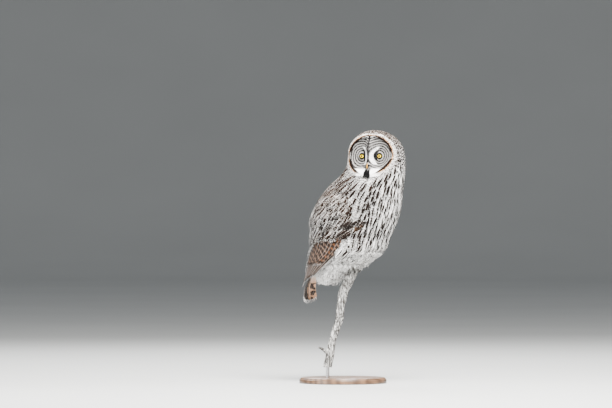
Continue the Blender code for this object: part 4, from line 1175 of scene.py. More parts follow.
def rim_polar(turn):
    across, up = rim_place(turn, 1.0)
    starts = head_place(across, up, 0.0)
    rim = reach(np.broadcast_to(AHEAD, starts.shape), starts)
    return np.arctan2(np.hypot(across, up), rim)


def round_turn(turn):
    """The angle on the rim's own ellipse for a plain angle round the face's axis."""
    return np.arctan2(np.sin(turn) / FACE_HALF_HEIGHT, np.cos(turn) / FACE_HALF_WIDTH)


def head_marks(turn, from_rim):
    """Finely barred crown, pale sides and nape with rows of dark commas, tawny just outside the ruff."""
    n = len(turn)
    crown = step(np.sin(turn), 0.10, 0.75)
    under = step(-np.sin(turn), 0.2, 0.7)
    white = 0.72 - 0.55 * crown - 0.10 * under
    bars = 0.95 + 0.05 * crown - 0.15 * under
    streak = 0.10 + 0.25 * under
    brown = 0.12 + 0.38 * crown
    near = np.exp(-((from_rim / 0.012) ** 2))
    brown = brown + (0.85 - brown) * near * (1 - 0.5 * under)
    marks = np.stack((white, streak, bars, brown), axis=-1)
    marks += RNG.normal(0, 1, (n, 4)) * (0.16, 0.08, 0.20, 0.10)
    return np.clip(marks, 0, 1)


def make_head_coat(plumage):
    """Small feathers of crown, sides and nape, laid back from the rim of the facial disc."""
    coat = Coat("head_coat")
    turns, polars = [], []
    for k, polar in enumerate(np.arange(math.radians(44), math.radians(172), 0.0056 / 0.095)):
        count = max(int(2 * math.pi * 0.095 * math.sin(polar) / 0.0054), 8)
        turn = (np.arange(count) + 0.5 * (k % 2)) / count * 2 * math.pi
        turns.append(turn + RNG.normal(0, 0.15, count) * 2 * math.pi / count)
        polars.append(polar + RNG.normal(0, 0.012, count))
    turn, polar = np.concatenate(turns), np.concatenate(polars)
    ellipse = round_turn(turn)
    edge = rim_polar(ellipse)
    from_rim = (polar - edge) * 0.095
    points = head_dome(turn, polar, 0.0)
    keep = (from_rim > 0.001) & (points[:, 2] > 0.728)
    turn, polar, from_rim = turn[keep], polar[keep], from_rim[keep]
    n = len(turn)
    length = RNG.uniform(0.014, 0.020, n)
    # the lie turns from straight back over the crown to downward on the sides and nape
    sag = step(polar, math.radians(70), math.radians(130)) * 0.8
    sideways = -np.cos(turn) * sag * length / 0.095
    start = (turn, polar - 0.25 * length / 0.095)
    scale_turn = np.maximum(np.sin(polar), 0.25)
    end = (
        turn + sideways / scale_turn,
        polar + 0.75 * length / 0.095 * (1 - 0.4 * sag * np.maximum(-np.sin(turn), 0))
    )
    marks = head_marks(turn, from_rim)
    half = RNG.uniform(0.0026, 0.0036, n)
    lay(coat, head_dome, head_centre, start, end, half, -0.0045, 0.0004, marks, roof=0.0005)
    wisps(coat, head_dome, head_centre, start, end, half, 0.0008, marks, each=2, length=0.5, thin=0.0007)
    # coarser feathers over them, each with one dark comma near its tip
    turns, polars = [], []
    for k, polar in enumerate(np.arange(math.radians(46), math.radians(165), 0.0108 / 0.095)):
        count = max(int(2 * math.pi * 0.095 * math.sin(polar) / 0.0104), 8)
        turn = (np.arange(count) + 0.5 * (k % 2)) / count * 2 * math.pi
        turns.append(turn + RNG.normal(0, 0.12, count) * 2 * math.pi / count)
        polars.append(polar + RNG.normal(0, 0.012, count))
    turn, polar = np.concatenate(turns), np.concatenate(polars)
    from_rim = (polar - rim_polar(round_turn(turn))) * 0.095
    keep = (from_rim > 0.006) & (head_dome(turn, polar, 0.0)[:, 2] > 0.722)
    turn, polar, from_rim = turn[keep], polar[keep], from_rim[keep]
    n = len(turn)
    length = RNG.uniform(0.018, 0.024, n)
    sag = step(polar, math.radians(70), math.radians(130)) * 0.8
    start = (turn, polar - 0.3 * length / 0.095)
    end = (
        turn - np.cos(turn) * sag * length / 0.095 / np.maximum(np.sin(polar), 0.25),
        polar + 0.7 * length / 0.095
    )
    marks = head_marks(turn, from_rim)
    marks[:, 0] = np.clip(marks[:, 0] + 0.1, 0, 1)
    marks[:, 1] = np.clip(RNG.normal(0.82, 0.22, n), 0, 1.0)
    marks[:, 2] *= 0.7
    half = RNG.uniform(0.0042, 0.0060, n)
    lay(coat, head_dome, head_centre, start, end, half, -0.0020, 0.0016, marks, roof=0.0005)
    wisps(
        coat, head_dome, head_centre, start, end, half, 0.0016, marks * (1, 0, 1, 1), each=1, length=0.4,
        thin=0.0007
    )
    coat.build(plumage, ("head",))


def face_place(across, up, lift):
    """The facial disc's surface over a place given across and up from between the eyes."""
    across, up = np.broadcast_arrays(across, up)
    turn = np.arctan2(up / FACE_HALF_HEIGHT, across / FACE_HALF_WIDTH)
    rim_across, rim_up = rim_place(turn, 1.0)
    share = np.hypot(across, up) / np.maximum(np.hypot(rim_across, rim_up), 1e-9)
    starts = head_place(rim_across, rim_up, 0.0)
    rim = reach(np.broadcast_to(AHEAD, starts.shape), starts)
    inside = face_ahead(across, up, np.minimum(share, 1.0), rim)
    from_eye = np.hypot(np.abs(across) - EYE_APART, up + EYE_DROP)
    inside = inside + 0.0062 * (1 - step(from_eye, 0.0080, 0.0190))
    return head_place(across, up, inside + lift)


def face_behind(points):
    return points - AHEAD * 0.05


def add_face_attribute(obj):
    """Stores where each vertex lies in the head's own measures, in millimetres."""
    mesh = obj.data
    points = np.empty(len(mesh.vertices) * 3, np.float32)
    mesh.vertices.foreach_get("co", points)
    local = np.stack(face_measures(points.reshape(-1, 3).astype(float)), axis=-1) * 1000
    layer = mesh.attributes.new("face", "FLOAT_VECTOR", "POINT")
    layer.data.foreach_set("vector", local.astype(np.float32).ravel())


def make_face_coat(face):
    """Fine tufts of the facial disc, spread outward from each eye, with bristles beside the bill."""
    coat = Coat("face_coat")
    rows = np.arange(-FACE_HALF_HEIGHT, FACE_HALF_HEIGHT, 0.0021)
    across, up = [], []
    for k, row in enumerate(rows):
        line = np.arange(-FACE_HALF_WIDTH, FACE_HALF_WIDTH, 0.0023) + 0.0012 * (k % 2)
        across.append(line)
        up.append(np.full(len(line), row))
    across, up = np.concatenate(across), np.concatenate(up)
    across = across + RNG.normal(0, 0.0006, len(across))
    up = up + RNG.normal(0, 0.0006, len(up))
    side = np.where(across > 0, 1.0, -1.0)
    eye_x, eye_y = across - side * EYE_APART, up + EYE_DROP
    from_eye = np.hypot(eye_x, eye_y)
    turn = np.arctan2(up / FACE_HALF_HEIGHT, across / FACE_HALF_WIDTH)
    rim_across, rim_up = rim_place(turn, 1.0)
    share = np.hypot(across, up) / np.hypot(rim_across, rim_up)
    bill = (np.abs(across) < 0.0062) & (up < -0.024) & (up > -0.056)
    keep = (from_eye > 0.0088) & (share < 0.985) & ~bill
    across, up, side, eye_x, eye_y, from_eye = (v[keep] for v in (across, up, side, eye_x, eye_y, from_eye))
    way_x, way_y = eye_x / from_eye, eye_y / from_eye
    # between the eyes the tufts lie up and outward from the bill
    middle = np.exp(-((across / 0.011) ** 2))
    way_x = way_x * (1 - middle) + middle * side * 0.25
    way_y = way_y * (1 - middle) + middle * np.where(up > -0.030, 0.95, -0.95)
    size = np.hypot(way_x, way_y)
    way_x, way_y = way_x / size, way_y / size
    n = len(across)
    length = (0.0060 + 0.05 * np.maximum(from_eye - 0.012, 0) ** 1.0 * 0.9) * RNG.uniform(0.85, 1.2, n)
    length = np.minimum(length, 0.0095)
    start = (across - way_x * length * 0.3, up - way_y * length * 0.3)
    end = (across + way_x * length * 0.7, up + way_y * length * 0.7)
    half = RNG.uniform(0.0007, 0.0011, n)
    marks = np.zeros((n, 4))
    lay(
        coat, face_place, face_behind, start, end, half, -0.0022, 0.0012, marks, LANCE_SHAPE[[0, 1, 3, 5]],
        roof=0.0005
    )
    for obj in coat.build(face, ("head",)):
        add_face_attribute(obj)


def front_place(across, up, lift):
    """The facial disc, and past its rim the plumage straight behind it."""
    across, up = np.broadcast_arrays(across, up)
    share = np.hypot(across / FACE_HALF_WIDTH, up / FACE_HALF_HEIGHT)
    starts = head_place(across, up, 0.0)
    plain = head_place(across, up, reach(np.broadcast_to(AHEAD, starts.shape), starts) + lift)
    return np.where((share < 1.0)[..., None], face_place(across, up, lift), plain)


def make_beard(face):
    """The black bib under the bill and the white moustaches beside it."""
    coat = Coat("beard_coat")
    n = 420
    across = RNG.uniform(-0.047, 0.047, n)
    up = -0.046 - 0.020 * RNG.random(n) ** 0.8
    up = up + 0.16 * np.abs(across) ** 1.25
    size = np.abs(across)
    side = np.sign(across)
    way_x = side * step(size, 0.008, 0.022) * 0.75
    way_y = -np.sqrt(1 - way_x**2)
    length = RNG.uniform(0.010, 0.016, n)
    start = (across, up)
    end = (across + way_x * length, up + way_y * length)
    half = RNG.uniform(0.0009, 0.0015, n)
    lay(
        coat, front_place, face_behind, start, end, half, -0.0010, 0.0034, np.zeros((n, 4)), LANCE_SHAPE,
        roof=0.0005
    )
    # bristles over the root of the bill
    n = 90
    side = np.where(np.arange(n) % 2, 1.0, -1.0)
    across = side * RNG.uniform(0.0050, 0.0090, n)
    up = RNG.uniform(-0.036, -0.020, n)
    length = RNG.uniform(0.009, 0.014, n)
    start = (across, up)
    end = (across - side * 0.0025, up - length)
    half = RNG.uniform(0.0006, 0.0009, n)
    lay(
        coat, front_place, face_behind, start, end, half, -0.0005, 0.0060, np.zeros((n, 4)), LANCE_SHAPE,
        roof=0.0004
    )
    for obj in coat.build(face, ("head",)):
        add_face_attribute(obj)


def make_ruff(face):
    """Short stiff feathers round the rim of the facial disc, dark at the rim and tawny behind it."""
    coat = Coat("ruff_coat")
    rows = (
        (-0.0085, 0.0100, 230, 0.0011, 0.0016),
        (-0.0055, 0.0105, 230, 0.0011, 0.0024),
        (-0.0025, 0.0110, 220, 0.0012, 0.0028),
        (0.0005, 0.0115, 210, 0.0013, 0.0026),
        (0.0035, 0.0120, 200, 0.0014, 0.0022),
        (0.0065, 0.0120, 190, 0.0015, 0.0016),
    )
    for row, (along0, reach_out, count, half, lift) in enumerate(rows):
        turn = (np.arange(count) + 0.5 * (row % 2)) / count * 2 * math.pi + RNG.normal(0, 0.012, count)
        edge = rim_polar(round_turn(turn))
        start = (turn, edge + along0 / 0.095)
        end = (
            turn + RNG.normal(0, 0.03, count),
            edge + (along0 + reach_out * RNG.uniform(0.85, 1.15, count)) / 0.095
        )
        keep = head_dome(end[0], end[1], 0.0)[:, 2] > 0.712
        n = int(keep.sum())
        start, end = (start[0][keep], start[1][keep]), (end[0][keep], end[1][keep])
        wide = half * RNG.uniform(0.85, 1.2, n)
        lay(
            coat, head_dome, head_centre, start, end, wide, -0.0014, lift, np.zeros((n, 4)), LANCE_SHAPE,
            roof=0.0006
        )
    for obj in coat.build(face, ("head",)):
        add_face_attribute(obj)


# Skin

def closed_loft(rings):
    """Points and faces through rings, closed by a fan at each end."""
    count = len(rings[0])
    middles = [[np.mean(rings[0], axis=0)], [np.mean(rings[-1], axis=0)]]
    points = np.concatenate([np.asarray(r) for r in rings] + middles)
    faces = [tuple(f) for f in grid_faces(len(rings), count, wrap=True)]
    first, last = len(rings) * count, len(rings) * count + 1
    low = (len(rings) - 1) * count
    for i in range(count):
        j = (i + 1) % count
        faces.append((j, i, first))
        faces.append((low + i, low + j, last))
    return points, faces


def tube(path, radii, sides, bumps=None):
    path = np.asarray(path, float)
    along = unit(np.gradient(path, axis=0))
    side = unit(np.cross(along[0], (0.31, 0.87, 0.39)))
    rings = []
    for k, point in enumerate(path):
        side = unit(side - along[k] * (side @ along[k]))
        other = np.cross(along[k], side)
        turn = np.arange(sides) * 2 * math.pi / sides
        ring = side * np.cos(turn)[:, None] + other * np.sin(turn)[:, None]
        size = radii[k] * (1 if bumps is None else bumps[k][:, None])
        rings.append(point + ring * size)
    return rings


def perch_point(along, height):
    return VIEW_RIGHT * along + VIEW_NEAR * PERCH_NEAR + UP * height


def perch_axis():
    top = perch_point(*PERCH_PATH[0][:2])
    return top, unit(top - perch_point(*PERCH_PATH[2][:2]))


def toe_path(side, turn, toe_reach, lift):
    top, axis = perch_axis()
    ahead = np.array((0.0, -1.0, 0.0))
    ahead = unit(ahead - axis * (ahead @ axis))
    leftward = np.cross(axis, ahead)
    way = ahead * math.cos(math.radians(turn)) + leftward * side * math.sin(math.radians(turn))
    radius = PERCH_PATH[0][2]
    start = np.array((side * LEG_APART * 0.85, -LEG_FORWARD, FOOT_TOP - 0.007))
    rim = top + way * (radius + 0.001) + axis * lift
    outer = top + way * (radius + 0.0022 + lift * 0.8) - axis * 0.003
    tip = top + way * (radius + 0.0030 + lift * 0.9) - axis * (0.004 + toe_reach)
    return np.array((start, start + (rim - start) * 0.55, rim, outer, tip))


def denser(path, count):
    """A smooth path through the given points."""
    path = np.asarray(path, float)
    x = np.linspace(0, len(path) - 1, count)
    slopes = np.gradient(path, axis=0)
    i = np.clip(np.floor(x).astype(int), 0, len(path) - 2)
    t = (x - i).reshape(-1, *([1] * (path.ndim - 1)))
    return (
        (2 * t**3 - 3 * t**2 + 1) * path[i] + (t**3 - 2 * t**2 + t) * slopes[i]
        + (-2 * t**3 + 3 * t**2) * path[i + 1] + (t**3 - t**2) * slopes[i + 1]
    )


def head_shell():
    """The head with its two dishes, sunk under the coat."""
    sectors = 96
    turn = np.arange(sectors) * 2 * math.pi / sectors
    rings = []
    for share in (0.05, 0.12, 0.20, 0.28, 0.36, 0.45, 0.54, 0.63, 0.72, 0.81, 0.90, 0.97):
        rings.append(face_point(turn, np.full(sectors, share), -0.0026))
    across, up = rim_place(turn, 1.0)
    plain = np.arctan2(up, across)
    edge = rim_polar(turn)
    for k in range(24):
        polar = edge + (math.radians(177) - edge) * (k + 0.3) / 23.3
        way = head_way(plain, np.full(sectors, polar))
        rings.append(HEAD_CENTRE + way * np.minimum(reach(way) - 0.0050, 0.108)[:, None])
    return closed_loft(rings)


def make_skin(skin):
    """One seamless skin for head, neck, body, legs and feet."""
    turn = np.linspace(-math.pi, math.pi, 97)[:-1]
    heights = list(np.linspace(0.712, 0.470, 36))
    rings = [plume(h, turn, -0.0085) for h in heights]
    low = np.linspace(0.4575, 0.345, 18)
    rings += [plume(h, turn, -0.0075, BELLY) for h in low]
    parts = [closed_loft(rings), head_shell()]
    for side in (1, -1):
        leg = [(side * LEG_APART, -LEG_FORWARD, h) for h in (0.475, 0.455, 0.442, FOOT_TOP - 0.010)]
        parts.append(closed_loft(tube(leg, (0.0135, 0.0135, 0.0125, 0.0105), 20)))
        for toe, toe_reach in zip(TOE_TURNS, TOE_REACH):
            path = denser(toe_path(side, toe, toe_reach, TOE_RADIUS + 0.0006), 14)
            parts.append(closed_loft(tube(path, np.linspace(0.0040, 0.0036, 14), 12)))
    points, faces, count = [], [], 0
    for some_points, some_faces in parts:
        points.append(np.asarray(some_points))
        faces += [tuple(i + count for i in f) for f in some_faces]
        count += len(some_points)
    obj = make_object("skin", np.concatenate(points), faces, skin)
    remesh = obj.modifiers.new("Remesh", "REMESH")
    remesh.mode = "VOXEL"
    remesh.voxel_size = 0.0022
    remesh.use_smooth_shade = True
    bpy.context.view_layer.update()
    mesh = bpy.data.meshes.new_from_object(obj.evaluated_get(bpy.context.evaluated_depsgraph_get()))
    obj.modifiers.clear()
    obj.data = mesh
    co = np.empty(len(mesh.vertices) * 3, np.float32)
    mesh.vertices.foreach_get("co", co)
    co = co.reshape(-1, 3).astype(float)
    forward = np.interp(co[:, 2], curve_points()[0], curve_part(BODY, 0))
    angles = np.arctan2(co[:, 0], -co[:, 1] - forward)
    marks = body_marks(co[:, 2], angles)
    layer = mesh.attributes.new("mark", "FLOAT_COLOR", "POINT")
    layer.data.foreach_set("color", marks.astype(np.float32).ravel())
    if not mesh.materials:
        mesh.materials.append(skin)
    mesh.shade_smooth()
    finish_piece(
        obj, skin,
        replaces=("torso", "neck", "head", "leg_left", "leg_right", "foot_left", "foot_right")
    )
    return obj


# Wings and tail

def add_vanes(coat, place, centre, centre_share, half_share, root, tip, root_out, tip_out, marks, outline,
              stations=13, columns=7, tilt=0.0, thick=0.0005, camber=0.0012, bend=0.0, under=None):
    """Broad feathers laid by share and height, each a closed curved blade with a ragged edge."""
    n = len(centre_share)
    t = np.linspace(0, 1, stations)
    wide = np.interp(t, outline[:, 0], outline[:, 1])
    round_end = np.sqrt(np.clip((1.004 - t) / 0.06, 0.0, 1.0))
    wide = wide * round_end
    c = np.linspace(-1, 1, columns)
    ragged = 1 + RNG.normal(0, 0.030, (n, stations, 1)) * np.abs(c)[None, None, :]
    reach = half_share[:, None, None] * wide[None, :, None] * c[None, None, :] * ragged
    share = centre_share[:, None, None] + reach
    share = share + (bend * (t**1.4))[None, :, None]
    heights = root[:, None, None] + (tip - root)[:, None, None] * t[None, :, None] + 0 * c[None, None, :]
    # the tip is rounded: the edges stop short of the shaft
    droop = (0.06 * (root - tip))[:, None, None] * (c**2)[None, None, :]
    heights = heights + droop * step(t, 0.75, 1.0)[None, :, None]
    ease = np.sin(0.5 * np.pi * t)[None, :, None]
    out = root_out + (tip_out - root_out) * ease + tilt * c[None, None, :] * wide[None, :, None]
    out = out + camber * (1 - c**2)[None, None, :] * wide[None, :, None] + RNG.normal(0, 0.0002, (n, 1, 1))
    top = place(share, heights, out)
    low = place(share, heights, out - thick)
    points = np.concatenate((top.reshape(n, -1, 3), low.reshape(n, -1, 3)), axis=1)
    per = stations * columns
    upper = grid_faces(stations, columns)
    lower = upper[:, ::-1] + per
    border = [(0, k) for k in range(columns - 1)] + [(r, columns - 1) for r in range(stations - 1)]
    border += [(stations - 1, k) for k in range(columns - 1, 0, -1)]
    border += [(r, 0) for r in range(stations - 1, 0, -1)]
    ids = np.array([r * columns + k for r, k in border])
    nxt = np.roll(ids, -1)
    walls = np.stack((nxt, ids, ids + per, nxt + per), axis=-1)
    quads = np.concatenate((upper, lower, walls))
    if np.einsum(
        "i,i->", np.cross(top[0, 1, 1] - top[0, 1, 0], top[0, 2, 0] - top[0, 1, 0]),
        top[0, 1, 1] - centre(top[0, 1, 1])
    ) < 0:
        quads = quads[:, ::-1]
    across = np.tile((c + 1) / 2, stations)
    along = np.repeat(t, columns)
    uv = np.stack((np.tile(across, 2), np.tile(along, 2)), axis=-1)
    if under is not None:
        both = np.repeat(marks[:, None], 2 * per, axis=1)
        both[:, per:] = under
        marks = both
    coat.put(points, quads, uv, marks)


def make_wings(flight, plumage):
    for side, word in ((1, "left"), (-1, "right")):
        quills = Coat(f"quills_{word}")
        place = lambda share, height, out, side=side: wing_spot(side, share, height, out)
        for count, first, last, root, tips, out, outline, marks in QUILLS:
            share = np.linspace(first, last, count) + RNG.normal(0, 0.003, count)
            gap = (last - first) / (count - 1)
            k = np.arange(count) / (count - 1)
            tip = tips[0] + (tips[1] - tips[0]) * np.sin(0.5 * np.pi * k) + RNG.normal(0, 0.0015, count)
            half = np.minimum(np.minimum(gap * 0.95, share - 0.012), 1.0 - share)
            own = np.clip(np.tile(marks, (count, 1)) + RNG.normal(0, 0.08, (count, 4)), 0, 1)
            add_vanes(
                quills, place, body_axis, share, half, np.full(count, root), tip,
                out[0], out[1], own, outline, tilt=-0.0013, bend=0.10,
            )
        quills.build(flight, (f"wing_{word}",))

        coverts = Coat(f"coverts_{word}")
        for count, first, last, root, tips, out, half_width, marks in COVERTS:
            for layer in range(2):
                share = np.linspace(first, last, count) + 0.5 * layer * (last - first) / (count - 1)
                share = np.clip(share + RNG.normal(0, 0.008, count), 0.03, 0.96)
                heights = root + 0.008 - 0.014 * layer + RNG.normal(0, 0.002, count)
                tip = (tips[0] + tips[1]) / 2 + 0.006 - 0.014 * layer + RNG.normal(0, 0.003, count)
                own = np.clip(np.tile(marks, (count, 1)) + RNG.normal(0, 0.15, (count, 4)), 0, 1)
                half = half_width * RNG.uniform(0.8, 1.05, count)
                start = (share, np.minimum(heights, 0.669))
                end = (share + RNG.normal(0, 0.015, count) + 0.13, tip)
                lay(
                    coverts, place, body_axis, start, end, half, out[0], out[1] + 0.0004 * layer, own,
                    BODY_SHAPE
                )
                wisps(
                    coverts, place, body_axis, start, end, half, out[1], own * (1, 1, 0.6, 1), each=5,
                    length=0.45
                )
        share = np.repeat(LOOSE_TIPS[:, 0], 3) + RNG.normal(0, 0.03, 3 * len(LOOSE_TIPS))
        heights = np.repeat(LOOSE_TIPS[:, 1], 3) + RNG.normal(0, 0.006, len(share))
        own = np.clip(
            np.tile((0.95, 0.35, 0.5, 0.15), (len(share), 1)) + RNG.normal(0, 0.1, (len(share), 4)), 0, 1
        )
        end = (share + 0.05, heights - RNG.uniform(0.038, 0.052, len(share)))
        half = RNG.uniform(0.0034, 0.0056, len(share))
        lay(coverts, place, body_axis, (share, heights), end, half, 0.0, 0.0075, own, LANCE_SHAPE)
        for low_share, high_share, root, tip, count, white, brown in WRIST:
            share = RNG.uniform(low_share, high_share, count)
            heights = root + RNG.normal(0, 0.005, count)
            end = (share + 0.06 + RNG.normal(0, 0.015, count), tip + RNG.normal(0, 0.005, count))
            own = np.clip(
                np.tile((white, 1.0, 0.9, brown), (count, 1)) + RNG.normal(0, 0.08, (count, 4)), 0, 1
            )
            half = RNG.uniform(0.0050, 0.0072, count)
            lay(
                coverts, place, body_axis, (share, heights), end, half, -0.002, 0.0038, own, BODY_SHAPE,
                roof=0.0006
            )
        coverts.build(plumage, (f"wing_{word}",))


def make_tail(flight):
    tail = Coat("tail_feathers")
    k = np.arange(TAIL_FEATHERS)
    place = -1.0 + 2.0 * (k + 0.5) / TAIL_FEATHERS
    depth = np.abs(place) * 0.0062 + np.where(place > 0, 0.0011, 0.0)
    tip = TAIL_LOW + 0.0135 * np.abs(place) ** 2.2
    for i in range(TAIL_FEATHERS):
        marks = np.array([[0.60, 0.35, 0.12, 0.85]])
        # painted shade: the feathers with place up to 0.10 take the dark marks of their upper sides on their
        # undersides too; the others show their own pale peach undersides
        add_vanes(
            tail, tail_spot, body_axis, place[i : i + 1] * 0.93, np.array([0.150]), np.array([0.430]),
            tip[i : i + 1],
            0.0018, 0.0046 - depth[i], marks, TAIL_SHAPE, stations=18, columns=9,
            tilt=-0.0005 * np.sign(place[i]),
            camber=0.0006, under=(0.80, 0.30, 2.0, 0.6) if place[i] > 0.10 else (0.55, 0.35, 0.05, 0.9),
        )
    tail.build(flight, ("tail",))


def make_tail_coverts(plumage):
    coat = Coat("tail_coverts")
    for row, (root, tip, count) in enumerate(((0.470, 0.418, 10), (0.450, 0.396, 9), (0.432, 0.378, 8))):
        share = np.linspace(-0.86, 0.86, count)
        start = (share, np.full(count, root))
        end = (share * 1.02, tip + RNG.normal(0, 0.003, count))
        spot = lambda share, height, out: tail_spot(share, np.minimum(height, 0.50), out)
        marks = np.clip(np.array((0.55, 0.5, 0.8, 0.45)) + RNG.normal(0, 0.08, (count, 4)), 0, 1)
        half = np.full(count, 0.0085)
        lay(coat, spot, body_axis, start, end, half, 0.001, 0.0070 - 0.001 * row, marks)
        wisps(coat, spot, body_axis, start, end, half, 0.0065 - 0.001 * row, marks, each=3)
    coat.build(plumage, ("tail",))


# Eyes, lids, bill

def eye_frame(side):
    centre = head_place(side * EYE_APART, -EYE_DROP, EYE_DEEP)
    axes = np.eye(4)
    axes[:3, 0], axes[:3, 1], axes[:3, 2], axes[:3, 3] = -LEFT, UP, AHEAD, centre
    return Matrix(axes.tolist())


def make_eyes(eye, lid):
    for side, word in ((1, "left"), (-1, "right")):
        rings = []
        turn = np.arange(64) * 2 * math.pi / 64
        for k in range(41):
            polar = 0.01 + (math.pi - 0.02) * k / 40
            radius = EYE_RADIUS * (1 + 0.05 * math.exp(-((polar / 0.55) ** 2)))
            rings.append(np.stack((
                radius * math.sin(polar) * np.cos(turn),
                radius * math.sin(polar) * np.sin(turn),
                np.full(64, radius * math.cos(polar)),
            ), axis=-1))
        points, faces = closed_loft(rings)
        ball = make_object(f"eyeball_{word}", points, faces, eye)
        ball.matrix_world = eye_frame(side)
        finish_piece(ball, eye, replaces=(f"eye_{word}",))
        rings = []
        for k in range(72):
            a = 2 * math.pi * k / 72
            q = np.arange(14) * 2 * math.pi / 14
            # the upper lid sits lower over the ball than the under lid rises
            rise = 0.0066 * math.sin(a) * (0.86 if math.sin(a) > 0 else 1.0)
            run = 0.0069 * math.cos(a)
            fat = 0.0017 + 0.0003 * max(math.sin(a), 0)
            size = math.hypot(run, rise)
            out = np.array((math.cos(a), math.sin(a), 0))
            deep = math.sqrt(max(EYE_RADIUS**2 - size**2, 0)) + 0.0003
            crinkle = 1 + 0.06 * math.sin(17 * a)
            ring = out * (size + fat * crinkle * np.cos(q) + 0.0008)[:, None]
            ring[:, 2] = deep + fat * np.sin(q)
            rings.append(ring)
        count = 14
        points = np.concatenate(rings)
        faces = []
        for i in range(72):
            for q in range(count):
                j, r = (i + 1) % 72, (q + 1) % count
                faces.append((i * count + q, i * count + r, j * count + r, j * count + q)[::-1])
        ring = make_object(f"lids_{word}", points, faces, lid)
        ring.matrix_world = eye_frame(side)
        finish_piece(ring, lid, replaces=("head",))


def make_bill(bill):
    for name, rows, node in (
        ("bill_over", BILL_UPPER, "bill_upper"), ("bill_under", BILL_LOWER, "bill_lower")
    ):
        fine = denser(np.array(rows), 26)
        fine[:, 2:] = np.maximum(fine[:, 2:], 0.0004)
        slope = np.gradient(fine[:, :2], axis=0)
        bend = np.arctan2(slope[:, 0], slope[:, 1])
        turn = np.arange(32) * 2 * math.pi / 32
        rings = []
        for (up, ahead_by, wide, tall), angle in zip(fine, bend):
            # a keel along the top and a flat underside
            rise = tall * np.sin(turn)
            across = wide * np.cos(turn) * (1 - 0.30 * np.maximum(np.sin(turn), 0) ** 2)
            rings.append(
                head_place(
                    across, up + rise * math.cos(angle), BILL_BASE + ahead_by - rise * math.sin(angle)
                )
            )
        points, faces = closed_loft(rings)
        obj = make_object(name, points, faces, bill)
        finish_piece(obj, bill, replaces=(node,))


def make_claws(claw):
    for side, word in ((1, "left"), (-1, "right")):
        for k, (turn, toe_reach) in enumerate(zip(TOE_TURNS, TOE_REACH), 1):
            top, axis = perch_axis()
            path = toe_path(side, turn, toe_reach, TOE_RADIUS + 0.0006)
            down = unit(path[-1] - path[-2])
            inward = top - path[-1]
            inward = unit(inward - axis * (inward @ axis))
            start = path[-1] - down * 0.001
            line = np.array((start, start + down * 0.005, start + down * 0.009 + inward * 0.0006,
                             start + down * 0.0125 + inward * 0.0022))
            radii = np.interp(np.linspace(0, 3, 18), range(4), (0.0028, 0.0023, 0.0015, 0.0003))
            points, faces = closed_loft(tube(denser(line, 18), radii, 16))
            obj = make_object(f"talon_{word}_{k}", points, faces, claw)
            finish_piece(obj, claw, replaces=(f"claw_{word}_{k}",))


def make_leg_coat(plumage):
    """Short soft feathers of the legs and toes."""
    coat = Coat("leg_coat")
    for side in (1, -1):
        for toe, toe_reach in zip(TOE_TURNS, TOE_REACH):
            path = denser(toe_path(side, toe, toe_reach, TOE_RADIUS + 0.0006), 40)
            along = unit(np.gradient(path, axis=0))
            top, axis = perch_axis()
            for i in range(2, 38, 2):
                a = along[i]
                up = unit(axis - a * (axis @ a)) if abs(axis @ a) < 0.97 else unit(np.cross(a, VIEW_RIGHT))
                across = np.cross(a, up)
                turn = np.linspace(-2.2, 2.2, 11) + RNG.normal(0, 0.1, 11)
                if abs(axis @ a) > 0.6:
                    outward = unit(path[i] - top - axis * ((path[i] - top) @ axis))
                    up = unit(outward - a * (outward @ a))
                    across = np.cross(a, up)
                out = up * np.cos(turn)[:, None] + across * np.sin(turn)[:, None]
                n = len(turn)
                t = LANCE_SHAPE[[0, 1, 3, 5], 0]
                length = RNG.uniform(0.005, 0.008, n)
                middles = path[i] + out[:, None] * (
                    0.0034 + 0.0022 * np.sin(0.5 * np.pi * t)
                )[None, :, None]
                middles = middles + a * (length[:, None] * t)[..., None]
                directions = unit(np.gradient(middles, axis=1))
                sides = unit(np.cross(np.broadcast_to(out[:, None], middles.shape), directions))
                normals = np.cross(directions, sides)
                marks = np.stack(
                    (
                        0.9 - 0.2 * RNG.random(n), 0.1 * RNG.random(n), 0.4 * RNG.random(n),
                        0.2 * RNG.random(n)
                    ),
                    axis=-1
                )
                widths = RNG.uniform(0.0010, 0.0016, n)[:, None] * LANCE_SHAPE[[0, 1, 3, 5], 1]
                coat.add(middles, sides, normals, widths, t, marks, roof=0.0005)
    coat.build(plumage, ("foot_left", "foot_right", "leg_left", "leg_right"))


# Perch and stand

def ripple(points, scale, seed):
    """Smooth seeded noise made of a few crossed waves."""
    rng = np.random.default_rng(seed)
    total = np.zeros(points.shape[:-1])
    for _ in range(7):
        way = rng.normal(0, 1, 3)
        total += np.sin(points @ (way * scale) + rng.uniform(0, 6.28))
    return total / 7


